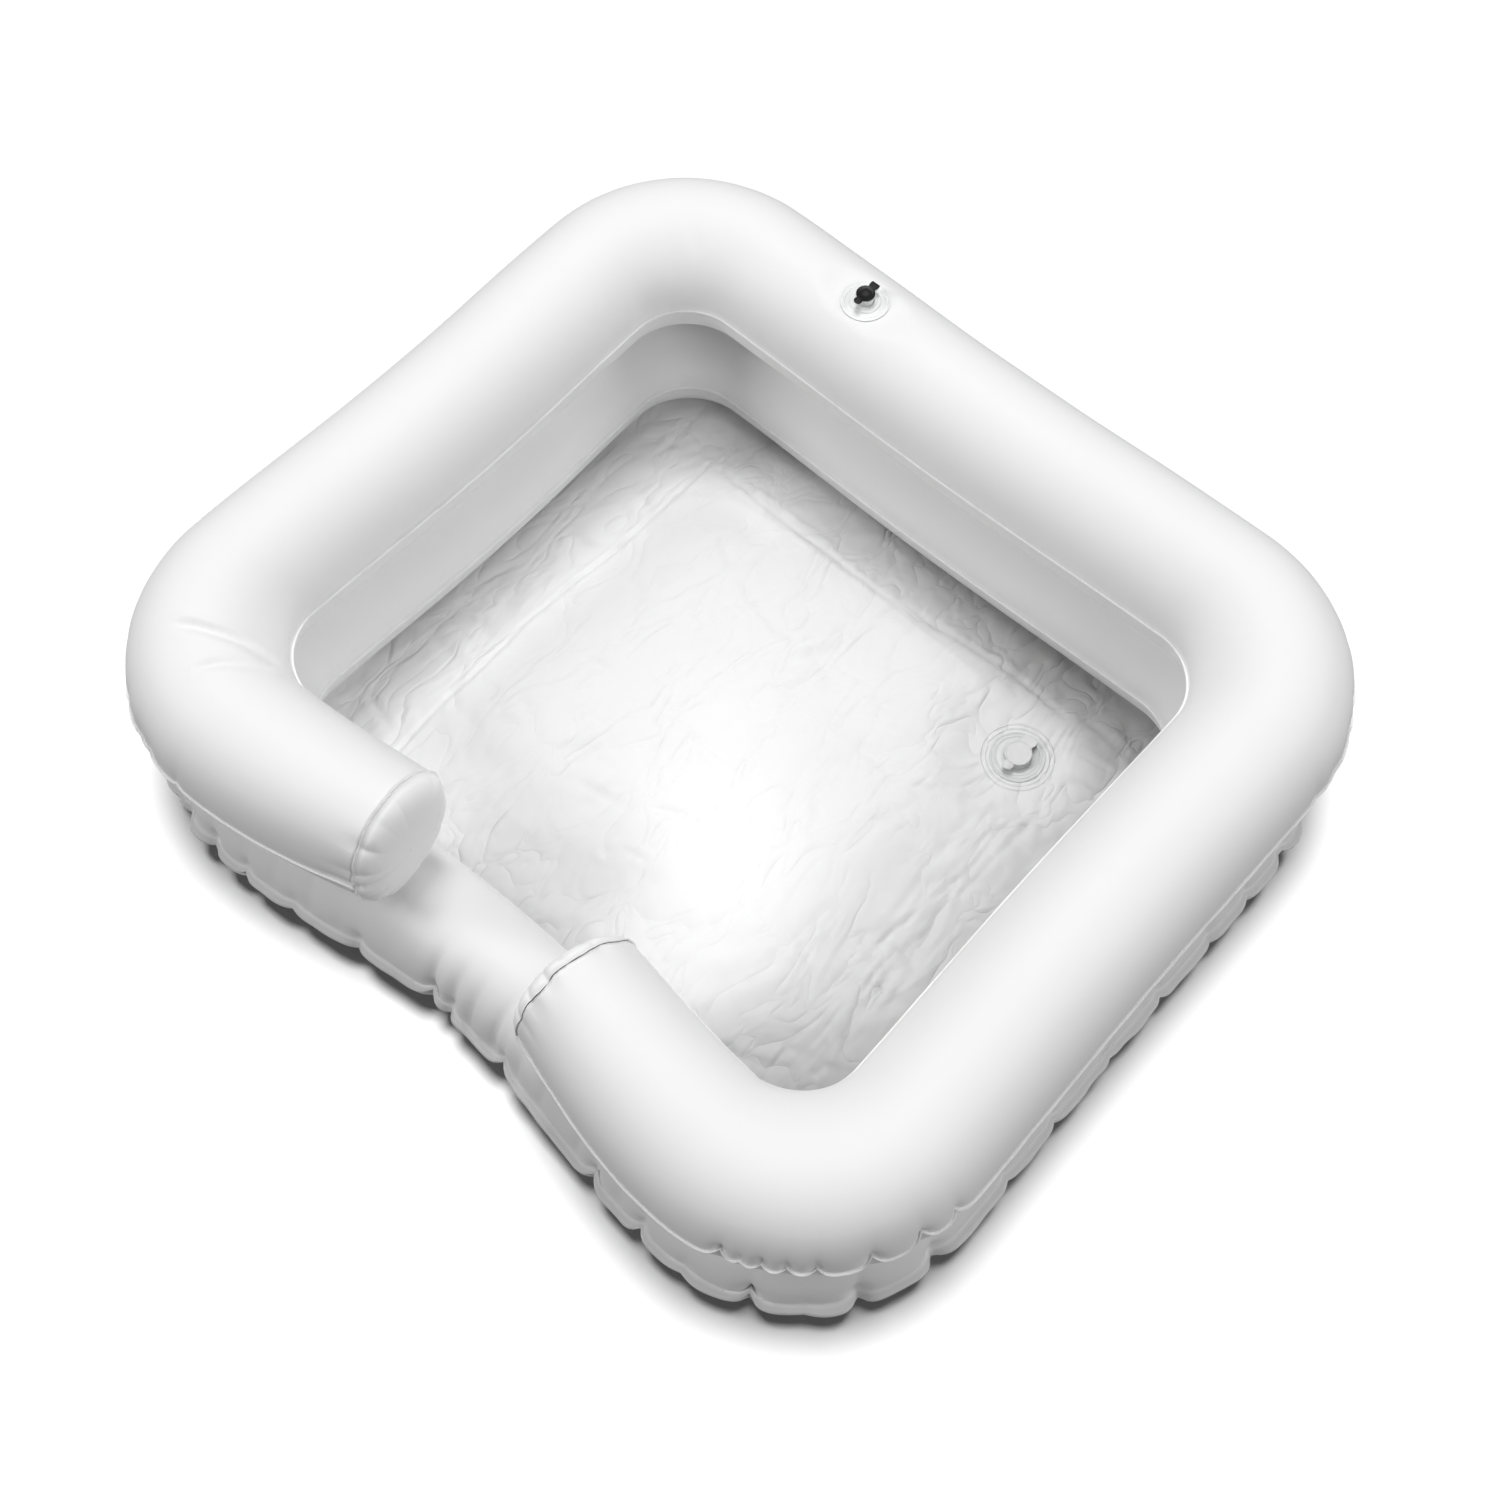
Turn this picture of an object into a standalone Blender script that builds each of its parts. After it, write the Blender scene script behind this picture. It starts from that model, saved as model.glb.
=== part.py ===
"""Portable shampoo basin: two inflated rings, an inflated floor pad, three air valves and a drain.

The upper ring is open at the neck side (-Y), where its two arms end in round end caps. The lower
ring is closed and lies under it. The floor pad fills the lower ring. Every ring is a top and a
bottom sheet of vinyl film, welded together along an inner and an outer seam.
The origin is the middle of the footprint, on the surface that the basin lies on, and +Z is up.
"""
import math

import bmesh
import bpy
import numpy as np
from mathutils import Matrix, Vector
from mathutils.geometry import delaunay_2d_cdt

# Film, and the play between neighbouring pieces
FILM = 0.0004
FIT_GAP = 0.0003
FLANK_PLAY = 0.0008
MERGE_DISTANCE = 0.00001
CUT_OVERRUN = 0.004

# Plan of both rings, along the middle of their tubes
HALF_WIDTH = 0.298
HALF_DEPTH = 0.262
CORNER_RADIUS = 0.083
UPPER_RADIUS = 0.052
LOWER_RADIUS = 0.0485
UPPER_NECK_BOW = 0.024
LOWER_NECK_BOW = 0.012
NECK_HALF_GAP = 0.081
UPPER_OUTER_SEAM = 0.0025
LOWER_OUTER_SEAM = 0.006
INNER_SEAM = 0.0025
CORNER_FILL_SHARE = 0.14
NECK_OUTER_SLIM_SHARE = 0.24
NECK_INNER_SLIM_SHARE = 0.08

# End caps of the two arms
CAP_DOME = 0.009
CAP_RIM = 0.0015

# Floor pad
PAD_EDGE_HEIGHT = 0.042
PAD_CROWN_HEIGHT = 0.055
PAD_NECK_LIFT = 0.004
PAD_POINT_SPACING = 0.031
PAD_EDGE_SHARE = 0.73
PAD_CORNER_POWER = 5.0
PAD_POINTS_SHARE = 0.9

# Air valves
VALVE_INSET = 0.185
VALVE_SEAT_RADIUS = 0.020
VALVE_SEAT_MARGIN = 0.025
VALVE_FLANGE_RADIUS = 0.018
VALVE_FLANGE_THICKNESS = 0.0008
VALVE_BOSS_RADIUS = 0.012
VALVE_BOSS_SLOPE = 0.0012
VALVE_BOSS_HEIGHT = 0.0012
VALVE_FILM_HOLE_RADIUS = 0.0125
STEM_RADIUS = 0.0062
STEM_BORE_RADIUS = 0.0040
STEM_HEIGHT = 0.0085
STEM_DEPTH = 0.010
STEM_RIM_RADIUS = 0.0072
STEM_RIM_THICKNESS = 0.0012
STEM_COLLAR_RADIUS = 0.0085
STEM_COLLAR_THICKNESS = 0.001
CAP_RADIUS = 0.0066
CAP_THICKNESS = 0.0016
PLUG_DEPTH = 0.004
PLUG_TAPER = 0.0006
STRAP_REACH = 0.012
STRAP_WIDTH = 0.0072
STRAP_THICKNESS = 0.0009
TAB_RADIUS = 0.0031
TAB_REACH = 0.0083
FLAP_RADIUS = 0.0052
FLAP_THICKNESS = 0.0005
FLOOR_VALVE_SIDE_INSET = 0.076
FLOOR_VALVE_NECK_INSET = 0.072
FLOOR_VALVE_HEIGHT = 0.026

# Drain
DRAIN_SIDE_INSET = 0.139
DRAIN_FAR_INSET = 0.1375
DRAIN_HEIGHT = 0.034
DRAIN_SEAT_RADIUS = 0.0265
DRAIN_DIP_REACH = 0.045
DRAIN_FLANGE_RADIUS = 0.0205
DRAIN_FLANGE_THICKNESS = 0.001
DRAIN_NECK_RADIUS = 0.0102
DRAIN_BORE_RADIUS = 0.0080
DRAIN_RIM_HEIGHT = 0.0045
DRAIN_LUG_LENGTH = 0.003
OUTLET_FLANGE_RADIUS = 0.018
OUTLET_SOCKET_WALL = 0.002
OUTLET_SOCKET_HEIGHT = 0.010
STOPPER_RADIUS = 0.0101
STOPPER_THICKNESS = 0.0018
STOPPER_PLUG_DEPTH = 0.006
STOPPER_PLUG_TAPER = 0.0009
STOPPER_STRAP_REACH = 0.0165
STOPPER_STRAP_WIDTH = 0.011
STOPPER_STRAP_THICKNESS = 0.0012
STOPPER_NUB_RADIUS = 0.0042
STOPPER_NUB_REACH = 0.0118

# Counts; an odd ARC_STEPS leaves a level strip where a tube touches its neighbour
CORNER_STEPS = 6
SIDE_STEPS = 3
NECK_STEPS = 3
ARC_STEPS = 9
CREST_STEPS = 10
DOME_STEPS = 4
CAP_STEPS = 24
ROUND_STEPS = 20
SEAT_STEPS = 16

# Places and heights that follow from the sizes above
VALVE_ALONG = VALVE_INSET - HALF_WIDTH
FLOOR_VALVE_X = HALF_WIDTH - FLOOR_VALVE_SIDE_INSET
FLOOR_VALVE_Y = FLOOR_VALVE_NECK_INSET - HALF_DEPTH
DRAIN_X = HALF_WIDTH - DRAIN_SIDE_INSET
DRAIN_Y = HALF_DEPTH - DRAIN_FAR_INSET
STRIP_ANGLE = math.pi / ARC_STEPS / 2
FLOOR_STRIP_TOP = FILM + FIT_GAP + FILM
LOWER_EQUATOR = FLOOR_STRIP_TOP + FIT_GAP + LOWER_RADIUS * math.cos(STRIP_ANGLE)
RINGS_CONTACT = LOWER_EQUATOR + LOWER_RADIUS * math.cos(STRIP_ANGLE) + FIT_GAP
UPPER_EQUATOR = RINGS_CONTACT + UPPER_RADIUS * math.cos(STRIP_ANGLE)
UPPER_TUBE = (UPPER_RADIUS, UPPER_OUTER_SEAM, UPPER_EQUATOR)
LOWER_TUBE = (LOWER_RADIUS, LOWER_OUTER_SEAM, LOWER_EQUATOR)
VALVE_FLANGE_TOP = FIT_GAP + VALVE_FLANGE_THICKNESS
DRAIN_RIM_TOP = FIT_GAP + DRAIN_FLANGE_THICKNESS + DRAIN_RIM_HEIGHT

SHARP_ANGLE = math.radians(35)
VINYL_ROUGHNESS = 0.4
WHITE_VINYL = (0.86, 0.86, 0.86, 1.0)
CLEAR_VINYL = (0.80, 0.82, 0.83, 1.0)
SMOKED_VINYL = (0.03, 0.03, 0.035, 1.0)
WHITE_STOPPER = (0.78, 0.78, 0.78, 1.0)


def clear_scene():
    """Removes every object, so that the part starts from nothing."""
    for item in list(bpy.data.objects):
        bpy.data.objects.remove(item)


def make_collection(name):
    """Returns a new collection in the scene."""
    collection = bpy.data.collections.new(name)
    bpy.context.scene.collection.children.link(collection)
    return collection


def make_material(name, colour):
    """Returns a Principled material of one colour."""
    material = bpy.data.materials.new(name)
    material.use_nodes = True
    shader = material.node_tree.nodes["Principled BSDF"]
    shader.inputs["Base Color"].default_value = colour
    shader.inputs["Roughness"].default_value = VINYL_ROUGHNESS
    shader.inputs["Metallic"].default_value = 0.0
    return material


def add_object(name, mesh, collection, colour=None, matrix=None):
    """Adds a mesh as an object with its own material, placed by a matrix."""
    item = bpy.data.objects.new(name, mesh)
    collection.objects.link(item)
    if matrix is not None:
        item.matrix_world = matrix
    if colour is not None:
        mesh.materials.append(make_material(name + "_vinyl", colour))
    mesh.shade_smooth()
    mesh.set_sharp_from_angle(angle=SHARP_ANGLE)
    return item


def grid_mesh(name, points, closed):
    """Returns a mesh of a grid primitive whose vertices are set to points[row, column]."""
    if closed:
        points = np.concatenate([points, points[:1]], axis=0)
    rows, columns = points.shape[:2]
    work = bmesh.new()
    bmesh.ops.create_grid(work, x_segments=columns - 1, y_segments=rows - 1, size=1)
    for vertex, place in zip(work.verts, points.reshape(-1, 3)):
        vertex.co = place
    bmesh.ops.remove_doubles(work, verts=work.verts, dist=MERGE_DISTANCE)
    mesh = bpy.data.meshes.new(name)
    work.to_mesh(mesh)
    work.free()
    return mesh


def add_film(item, behind=True):
    """Gives an open surface the thickness of the film, behind or before its faces."""
    film = item.modifiers.new("film", "SOLIDIFY")
    film.thickness = FILM
    film.offset = -1.0 if behind else 1.0
    film.use_even_offset = True


def cut(item, cutter):
    """Cuts a piece with a closed cutter."""
    cutter.hide_render = True
    cutter.display_type = "WIRE"
    boolean = item.modifiers.new("cut_" + cutter.name, "BOOLEAN")
    boolean.operation = "DIFFERENCE"
    boolean.object = cutter


def join(item, extra):
    """Unites a piece with another shape of the same moulding."""
    extra.hide_render = True
    extra.display_type = "WIRE"
    boolean = item.modifiers.new("join_" + extra.name, "BOOLEAN")
    boolean.operation = "UNION"
    boolean.object = extra


def cylinder_mesh(name, radius, low, high, top_radius=None):
    """Returns a closed cylinder or cone about local Z, from low to high."""
    work = bmesh.new()
    middle = Matrix.Translation((0, 0, (low + high) / 2))
    upper = radius if top_radius is None else top_radius
    bmesh.ops.create_cone(work, cap_ends=True, segments=ROUND_STEPS, radius1=radius, radius2=upper,
                          depth=high - low, matrix=middle)
    mesh = bpy.data.meshes.new(name)
    work.to_mesh(mesh)
    work.free()
    return mesh


def box_mesh(name, low, high):
    """Returns a closed box between two corners."""
    work = bmesh.new()
    bmesh.ops.create_cube(work, size=1)
    size = Vector(high) - Vector(low)
    bmesh.ops.transform(work, matrix=Matrix.Diagonal(size).to_4x4(), verts=work.verts)
    bmesh.ops.translate(work, vec=(Vector(high) + Vector(low)) / 2, verts=work.verts)
    mesh = bpy.data.meshes.new(name)
    work.to_mesh(mesh)
    work.free()
    return mesh


def add_turned(name, profile, collection, **look):
    """Adds a ring turned about local Z; its profile of (radius, height) runs down its outer side."""
    mesh = bpy.data.meshes.new(name)
    count = len(profile)
    edges = [(index, (index + 1) % count) for index in range(count)]
    mesh.from_pydata([(radius, 0, height) for radius, height in profile], edges, [])
    item = add_object(name, mesh, collection, **look)
    screw = item.modifiers.new("turn", "SCREW")
    screw.steps = ROUND_STEPS
    screw.render_steps = ROUND_STEPS
    screw.use_merge_vertices = True
    screw.merge_threshold = MERGE_DISTANCE
    return item


def side_stations(start, end, fixed, outward, extras=()):
    """Stations along a straight side; fixed is the other coordinate, extras are added places."""
    places = list(np.linspace(start, end, SIDE_STEPS + 1)[1:-1])
    if extras:
        places = [place for place in places if not min(extras) < place < max(extras)]
        places += list(extras)
    places.sort(reverse=end < start)
    if outward[0]:
        return [((fixed, place), outward) for place in places]
    return [((place, fixed), outward) for place in places]


def corner_stations(centre_x, centre_y, first_angle):
    """Stations round one corner, over a quarter turn."""
    stations = []
    for turn in np.linspace(first_angle, first_angle + math.pi / 2, CORNER_STEPS + 1):
        outward = (math.cos(turn), math.sin(turn))
        place = (centre_x + CORNER_RADIUS * outward[0], centre_y + CORNER_RADIUS * outward[1])
        stations.append((place, outward))
    return stations


def neck_stations(places, bow):
    """Stations on the neck side, which is drawn in towards its middle by the bow."""
    reach = HALF_WIDTH - CORNER_RADIUS
    stations = []
    for place in places:
        phase = math.pi * place / reach / 2
        slope = -bow * math.pi / reach * math.sin(phase) * math.cos(phase)
        length = math.hypot(1.0, slope)
        drawn = -HALF_DEPTH + bow * math.cos(phase) ** 2
        stations.append(((place, drawn), (slope / length, -1 / length)))
    return stations


def ring_stations(bow, closed):
    """Stations of a ring, anticlockwise: places in plan and the outward direction at each.

    A closed ring starts and ends at the middle of the neck side, an open one at its two arm ends.
    """
    reach_x = HALF_WIDTH - CORNER_RADIUS
    reach_y = HALF_DEPTH - CORNER_RADIUS
    first = 0.0 if closed else NECK_HALF_GAP
    right_neck = list(np.linspace(first, reach_x, NECK_STEPS + 1)[:-1])
    left_neck = [-place for place in reversed(right_neck)]
    if closed:
        left_neck = left_neck[:-1]
    spread = (VALVE_SEAT_RADIUS + VALVE_SEAT_MARGIN, VALVE_SEAT_RADIUS, 0.0)
    extras = [VALVE_ALONG + sign * part for part in spread for sign in (-1, 1) if part or sign > 0]
    stations = neck_stations(right_neck, bow)
    stations += corner_stations(reach_x, -reach_y, -math.pi / 2)
    stations += side_stations(-reach_y, reach_y, HALF_WIDTH, (1.0, 0.0))
    stations += corner_stations(reach_x, reach_y, 0.0)
    stations += side_stations(reach_x, -reach_x, HALF_DEPTH, (0.0, 1.0), extras)
    stations += corner_stations(-reach_x, reach_y, math.pi / 2)
    stations += side_stations(reach_y, -reach_y, -HALF_WIDTH, (-1.0, 0.0))
    stations += corner_stations(-reach_x, -reach_y, math.pi)
    stations += neck_stations(left_neck, bow)
    places = np.array([place for place, outward in stations])
    outwards = np.array([outward for place, outward in stations])
    return places, outwards


def half_tube(radius, outer_seam, steps, sign):
    """Outer side of half a tube from inner to outer seam: (offset outward, height) points."""
    seam = sign * (FIT_GAP / 2 + FILM)
    points = [(-radius - INNER_SEAM, seam), (-radius, seam)]
    for step in range(1, steps):
        angle = math.pi * (1 - step / steps)
        points.append((radius * math.cos(angle), sign * radius * math.sin(angle)))
    points += [(radius, seam), (radius + outer_seam, seam)]
    return points


def fitted_offsets(stations, offsets):
    """Offsets from the middle of a tube as they are at each station, as an array [station, offset].

    A tube is fuller on its inner side round the corners, and slimmer towards the neck's middle.
    """
    places, outwards = stations
    reach_x = HALF_WIDTH - CORNER_RADIUS
    reach_y = HALF_DEPTH - CORNER_RADIUS
    distances = np.abs(places)
    in_corner = (distances[:, 0] > reach_x) & (distances[:, 1] > reach_y)
    corner = np.where(in_corner, np.abs(2 * outwards[:, 0] * outwards[:, 1]), 0)
    at_neck = (distances[:, 0] < reach_x) & (places[:, 1] < 0)
    neck = np.where(at_neck, np.cos(math.pi * places[:, 0] / reach_x / 2) ** 2, 0)
    inner = 1 + CORNER_FILL_SHARE * corner - NECK_INNER_SLIM_SHARE * neck
    outer = 1 - NECK_OUTER_SLIM_SHARE * neck
    return np.where(offsets < 0, inner[:, None] * offsets, outer[:, None] * offsets)


def sweep(stations, profile, level):
    """Points of a profile carried along the stations, as an array [station, profile point]."""
    places, outwards = stations
    offsets = fitted_offsets(stations, np.array([offset for offset, height in profile]))
    heights = np.array([height for offset, height in profile])
    points = np.zeros((len(places), len(profile), 3))
    points[:, :, :2] = places[:, None, :] + outwards[:, None, :] * offsets[:, :, None]
    points[:, :, 2] = level + heights[None, :]
    return points


def flatten_seat(points, row, column, centre, along, across):
    """Moves a grid point to the middle of a valve seat and its eight neighbours to the seat's edge."""
    points[row, column] = centre
    for row_step in (-1, 0, 1):
        for column_step in (-1, 0, 1):
            if row_step or column_step:
                direction = row_step * along + column_step * across
                direction = direction / np.linalg.norm(direction)
                place = centre + VALVE_SEAT_RADIUS * direction
                points[row + row_step, column + column_step] = place


def seat_matrix(centre, normal, strap):
    """Frame of a fitting: +Z out of the film, +Y towards its strap."""
    upward = Vector(normal).normalized()
    strap_way = Vector(strap).normalized()
    side = strap_way.cross(upward)
    frame = Matrix((side, strap_way, upward)).transposed().to_4x4()
    return Matrix.Translation(Vector(centre)) @ frame


def cut_film(item, seat, radius, cutters):
    """Cuts the hole of a fitting through the film."""
    mesh = cylinder_mesh(item.name + "_hole", radius, -CUT_OVERRUN, CUT_OVERRUN)
    cut(item, add_object(item.name + "_hole", mesh, cutters, matrix=seat))


def build_ring_sheet(name, stations, closed, tube, steps, sign, parts, seat_column=None):
    """Adds a top (sign 1) or bottom (sign -1) sheet of a ring and returns it with its valve seat.

    tube holds the tube's radius, its outer seam's width and the height of its seams.
    """
    radius, outer_seam, level = tube
    points = sweep(stations, half_tube(radius, outer_seam, steps, sign), level)
    seat = None
    if seat_column is not None:
        row = int(np.argmin(np.hypot(*(stations[0] - (VALVE_ALONG, HALF_DEPTH)).T)))
        middle = np.array((VALVE_ALONG, HALF_DEPTH, level))
        normal = points[row, seat_column] - middle
        normal /= np.linalg.norm(normal)
        centre = middle + normal * math.sqrt(radius ** 2 - VALVE_SEAT_RADIUS ** 2)
        along = np.array((-1.0, 0.0, 0.0))
        across = np.cross(along, normal)
        flatten_seat(points, row, seat_column, centre, along, across)
        strap = across if abs(normal[1]) < abs(normal[2]) / 2 else along
        seat = seat_matrix(centre, normal, strap)
    item = add_object(name, grid_mesh(name, points, closed), parts, colour=WHITE_VINYL)
    add_film(item, behind=sign > 0)
    return item, seat


def build_end_cap(name, stations, end, parts, cutters):
    """Adds the domed disc that closes one arm, welded round the end of the tube."""
    places, outwards = stations
    outward = outwards[end]
    sense = 1 if end == 0 else -1
    away = Vector((outward[1], -outward[0], 0)) * sense
    spot = Vector((places[end][0], places[end][1], UPPER_EQUATOR)) + away * FIT_GAP
    frame = seat_matrix(spot, away, (0, 0, 1))
    shares = np.linspace(0, 1, DOME_STEPS + 1)
    radii = np.append(UPPER_RADIUS * shares, UPPER_RADIUS + CAP_RIM)
    turns = np.linspace(0, math.tau, CAP_STEPS, endpoint=False)
    offsets = np.outer(np.cos(turns), radii)
    arm_end = (places[[end]], outwards[[end]])
    points = np.zeros((CAP_STEPS, len(radii), 3))
    points[:, :, 0] = sense * fitted_offsets(arm_end, offsets.ravel()).reshape(offsets.shape)
    points[:, :, 1] = sense * np.outer(np.sin(turns), radii)
    points[:, :, 2] = np.append(FILM + CAP_DOME * (1 - shares ** 2), FILM)
    item = add_object(name, grid_mesh(name, points, True), parts, colour=WHITE_VINYL, matrix=frame)
    add_film(item)
    reach = UPPER_RADIUS + CUT_OVERRUN
    low = (-reach, -reach - CUT_OVERRUN, -CUT_OVERRUN)
    high = (reach, RINGS_CONTACT - UPPER_EQUATOR, CAP_DOME + CUT_OVERRUN)
    mesh = box_mesh(name + "_trim", low, high)
    cut(item, add_object(name + "_trim", mesh, cutters, matrix=frame))


def floor_profile():
    """Floor seam under the lower ring, then the film up the lower tube's inner lower quarter."""
    parallel = LOWER_RADIUS + FIT_GAP / math.cos(STRIP_ANGLE)
    points = []
    for step in (-1, 1, 3, 5):
        angle = math.pi * 3 / 2 - step * STRIP_ANGLE
        reach = parallel if step < 3 else parallel + FLANK_PLAY
        points.append((reach * math.cos(angle), reach * math.sin(angle)))
    return points


def ease(share):
    """Smooth step from 0 to 1, level at both ends."""
    share = min(max(share, 0.0), 1.0)
    return share * share * (3 - 2 * share)


def pad_height(x, y, edge_level, half_x, half_y):
    """Height of the pad's upper side: flanks up to the plateau's edge, a crown, and the drain's dip."""
    gauge = (abs(x) / half_x) ** PAD_CORNER_POWER + (abs(y) / half_y) ** PAD_CORNER_POWER
    share = gauge ** (1 / PAD_CORNER_POWER)
    if share > PAD_EDGE_SHARE:
        rise = ease((1 - share) / (1 - PAD_EDGE_SHARE))
        height = edge_level + (PAD_EDGE_HEIGHT - edge_level) * rise
    else:
        crown = 1 - (share / PAD_EDGE_SHARE) ** 2
        height = PAD_EDGE_HEIGHT + (PAD_CROWN_HEIGHT - PAD_EDGE_HEIGHT) * crown
    height -= PAD_NECK_LIFT * y / half_y * ease((1 - share) / PAD_EDGE_SHARE)
    reach = math.hypot(x - DRAIN_X, y - DRAIN_Y) - DRAIN_SEAT_RADIUS
    return DRAIN_HEIGHT + (height - DRAIN_HEIGHT) * ease(reach / DRAIN_DIP_REACH)


def circle_points(x, y, radius):
    """Points round a level circle in plan."""
    turns = [math.tau * step / SEAT_STEPS for step in range(SEAT_STEPS)]
    return [(x + radius * math.cos(turn), y + radius * math.sin(turn)) for turn in turns]


def floor_points(stations):
    """Places in plan, heights and fixed edges of the floor's upper sheet."""
    loops = sweep(stations, floor_profile(), LOWER_EQUATOR)
    plan = []
    heights = []
    edges = []
    for column in range(loops.shape[1]):
        first = len(plan)
        count = len(loops)
        plan += [tuple(place[:2]) for place in loops[:, column]]
        heights += list(loops[:, column, 2])
        edges += [(first + step, first + (step + 1) % count) for step in range(count)]
    inner_offset, inner_height = floor_profile()[-1]
    half_x = HALF_WIDTH + inner_offset
    half_y = HALF_DEPTH + inner_offset
    seats = [(DRAIN_X, DRAIN_Y, DRAIN_SEAT_RADIUS, DRAIN_HEIGHT)]
    seats.append((FLOOR_VALVE_X, FLOOR_VALVE_Y, VALVE_SEAT_RADIUS, FLOOR_VALVE_HEIGHT))
    for x, y, radius, height in seats:
        first = len(plan)
        plan += circle_points(x, y, radius)
        heights += [height] * SEAT_STEPS
        edges += [(first + step, first + (step + 1) % SEAT_STEPS) for step in range(SEAT_STEPS)]
    edge_level = LOWER_EQUATOR + inner_height
    across_count = round(2 * half_x / PAD_POINT_SPACING)
    deep_count = round(2 * half_y / PAD_POINT_SPACING)
    clear = PAD_POINT_SPACING / 2
    for x in np.linspace(-half_x, half_x, across_count + 1)[1:-1]:
        for y in np.linspace(-half_y, half_y, deep_count + 1)[1:-1]:
            to_edge = np.hypot(*(loops[:, -1, :2] - (x, y)).T).min()
            gauge = (abs(x) / half_x) ** PAD_CORNER_POWER + (abs(y) / half_y) ** PAD_CORNER_POWER
            near_seat = any(math.hypot(x - seat_x, y - seat_y) < radius + clear / 2
                            for seat_x, seat_y, radius, height in seats)
            drawn_in = y < -half_y + LOWER_NECK_BOW + clear
            if to_edge > clear and gauge < PAD_POINTS_SHARE and not near_seat and not drawn_in:
                plan.append((x, y))
                heights.append(pad_height(x, y, edge_level, half_x, half_y))
    return plan, heights, edges, len(loops)


def build_floor_top(stations, parts, cutters):
    """Adds the floor pad's upper sheet and returns it with the frames of its two fittings."""
    plan, heights, edges, count = floor_points(stations)
    outline = list(range(count))
    flat = [Vector(place) for place in plan]
    result = delaunay_2d_cdt(flat, edges, [outline], 1, MERGE_DISTANCE)
    places, faces, sources = result[0], result[2], result[3]
    spots = [(place.x, place.y, heights[source[0]]) for place, source in zip(places, sources)]
    mesh = bpy.data.meshes.new("floor_top_sheet")
    mesh.from_pydata(spots, [], faces)
    item = add_object("floor_top_sheet", mesh, parts, colour=WHITE_VINYL)
    add_film(item)
    drain_seat = Matrix.Translation((DRAIN_X, DRAIN_Y, DRAIN_HEIGHT))
    valve_place = (FLOOR_VALVE_X, FLOOR_VALVE_Y, FLOOR_VALVE_HEIGHT)
    valve_seat = seat_matrix(valve_place, (0, 0, 1), (-1, 0, 0))
    cut_film(item, drain_seat, DRAIN_NECK_RADIUS + FIT_GAP, cutters)
    cut_film(item, valve_seat, VALVE_FILM_HOLE_RADIUS, cutters)
    return drain_seat, valve_seat


def build_floor_bottom(stations, parts, cutters):
    """Adds the flat sheet that the basin lies on, as a filled outline with the outlet's hole."""
    outline = sweep(stations, floor_profile()[:1], FILM / 2)[:, 0]
    curve = bpy.data.curves.new("floor_outline", "CURVE")
    curve.dimensions = "2D"
    curve.fill_mode = "BOTH"
    curve.extrude = FILM / 2
    spline = curve.splines.new("POLY")
    spline.points.add(len(outline) - 1)
    for point, place in zip(spline.points, outline):
        point.co = (place[0], place[1], 0, 1)
    spline.use_cyclic_u = True
    guide = bpy.data.objects.new("floor_outline", curve)
    parts.objects.link(guide)
    guide.location.z = FILM / 2
    bpy.context.view_layer.update()
    evaluated = guide.evaluated_get(bpy.context.evaluated_depsgraph_get())
    mesh = bpy.data.meshes.new_from_object(evaluated)
    work = bmesh.new()
    work.from_mesh(mesh)
    bmesh.ops.remove_doubles(work, verts=work.verts, dist=MERGE_DISTANCE)
    work.to_mesh(mesh)
    work.free()
    matrix = guide.matrix_world.copy()
    bpy.data.objects.remove(guide)
    item = add_object("floor_bottom_sheet", mesh, parts, colour=WHITE_VINYL, matrix=matrix)
    outlet = Matrix.Translation((DRAIN_X, DRAIN_Y, FILM / 2))
    cut_film(item, outlet, DRAIN_NECK_RADIUS + FIT_GAP, cutters)


def build_valve_flange(name, seat, parts):
    """Adds the disc that is welded on the film round a valve."""
    hole = STEM_RADIUS + FIT_GAP
    boss_top = VALVE_FLANGE_TOP + VALVE_BOSS_HEIGHT
    profile = [(hole, boss_top), (VALVE_BOSS_RADIUS - VALVE_BOSS_SLOPE, boss_top),
               (VALVE_BOSS_RADIUS, VALVE_FLANGE_TOP), (VALVE_FLANGE_RADIUS, VALVE_FLANGE_TOP),
               (VALVE_FLANGE_RADIUS, FIT_GAP), (hole, FIT_GAP)]
    return add_turned(name, profile, parts, colour=CLEAR_VINYL, matrix=seat)


def build_valve_stem(name, seat, parts, cutters):
    """Adds the air tube, with a rim and an ear for the strap outside and a collar inside."""
    rim_low = STEM_HEIGHT - STEM_RIM_THICKNESS
    collar_top = STEM_COLLAR_THICKNESS - STEM_DEPTH
    profile = [(STEM_BORE_RADIUS, STEM_HEIGHT), (STEM_RIM_RADIUS, STEM_HEIGHT),
               (STEM_RIM_RADIUS, rim_low), (STEM_RADIUS, rim_low), (STEM_RADIUS, collar_top),
               (STEM_COLLAR_RADIUS, collar_top), (STEM_COLLAR_RADIUS, -STEM_DEPTH),
               (STEM_BORE_RADIUS, -STEM_DEPTH)]
    stem = add_turned(name, profile, parts, colour=CLEAR_VINYL, matrix=seat)
    wall_middle = (STEM_BORE_RADIUS + STEM_RADIUS) / 2
    low = (-STRAP_WIDTH / 2, wall_middle, rim_low)
    high = (STRAP_WIDTH / 2, STRAP_REACH, STEM_HEIGHT)
    mesh = box_mesh(name + "_ear", low, high)
    join(stem, add_object(name + "_ear", mesh, cutters, matrix=seat))
    return stem


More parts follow.
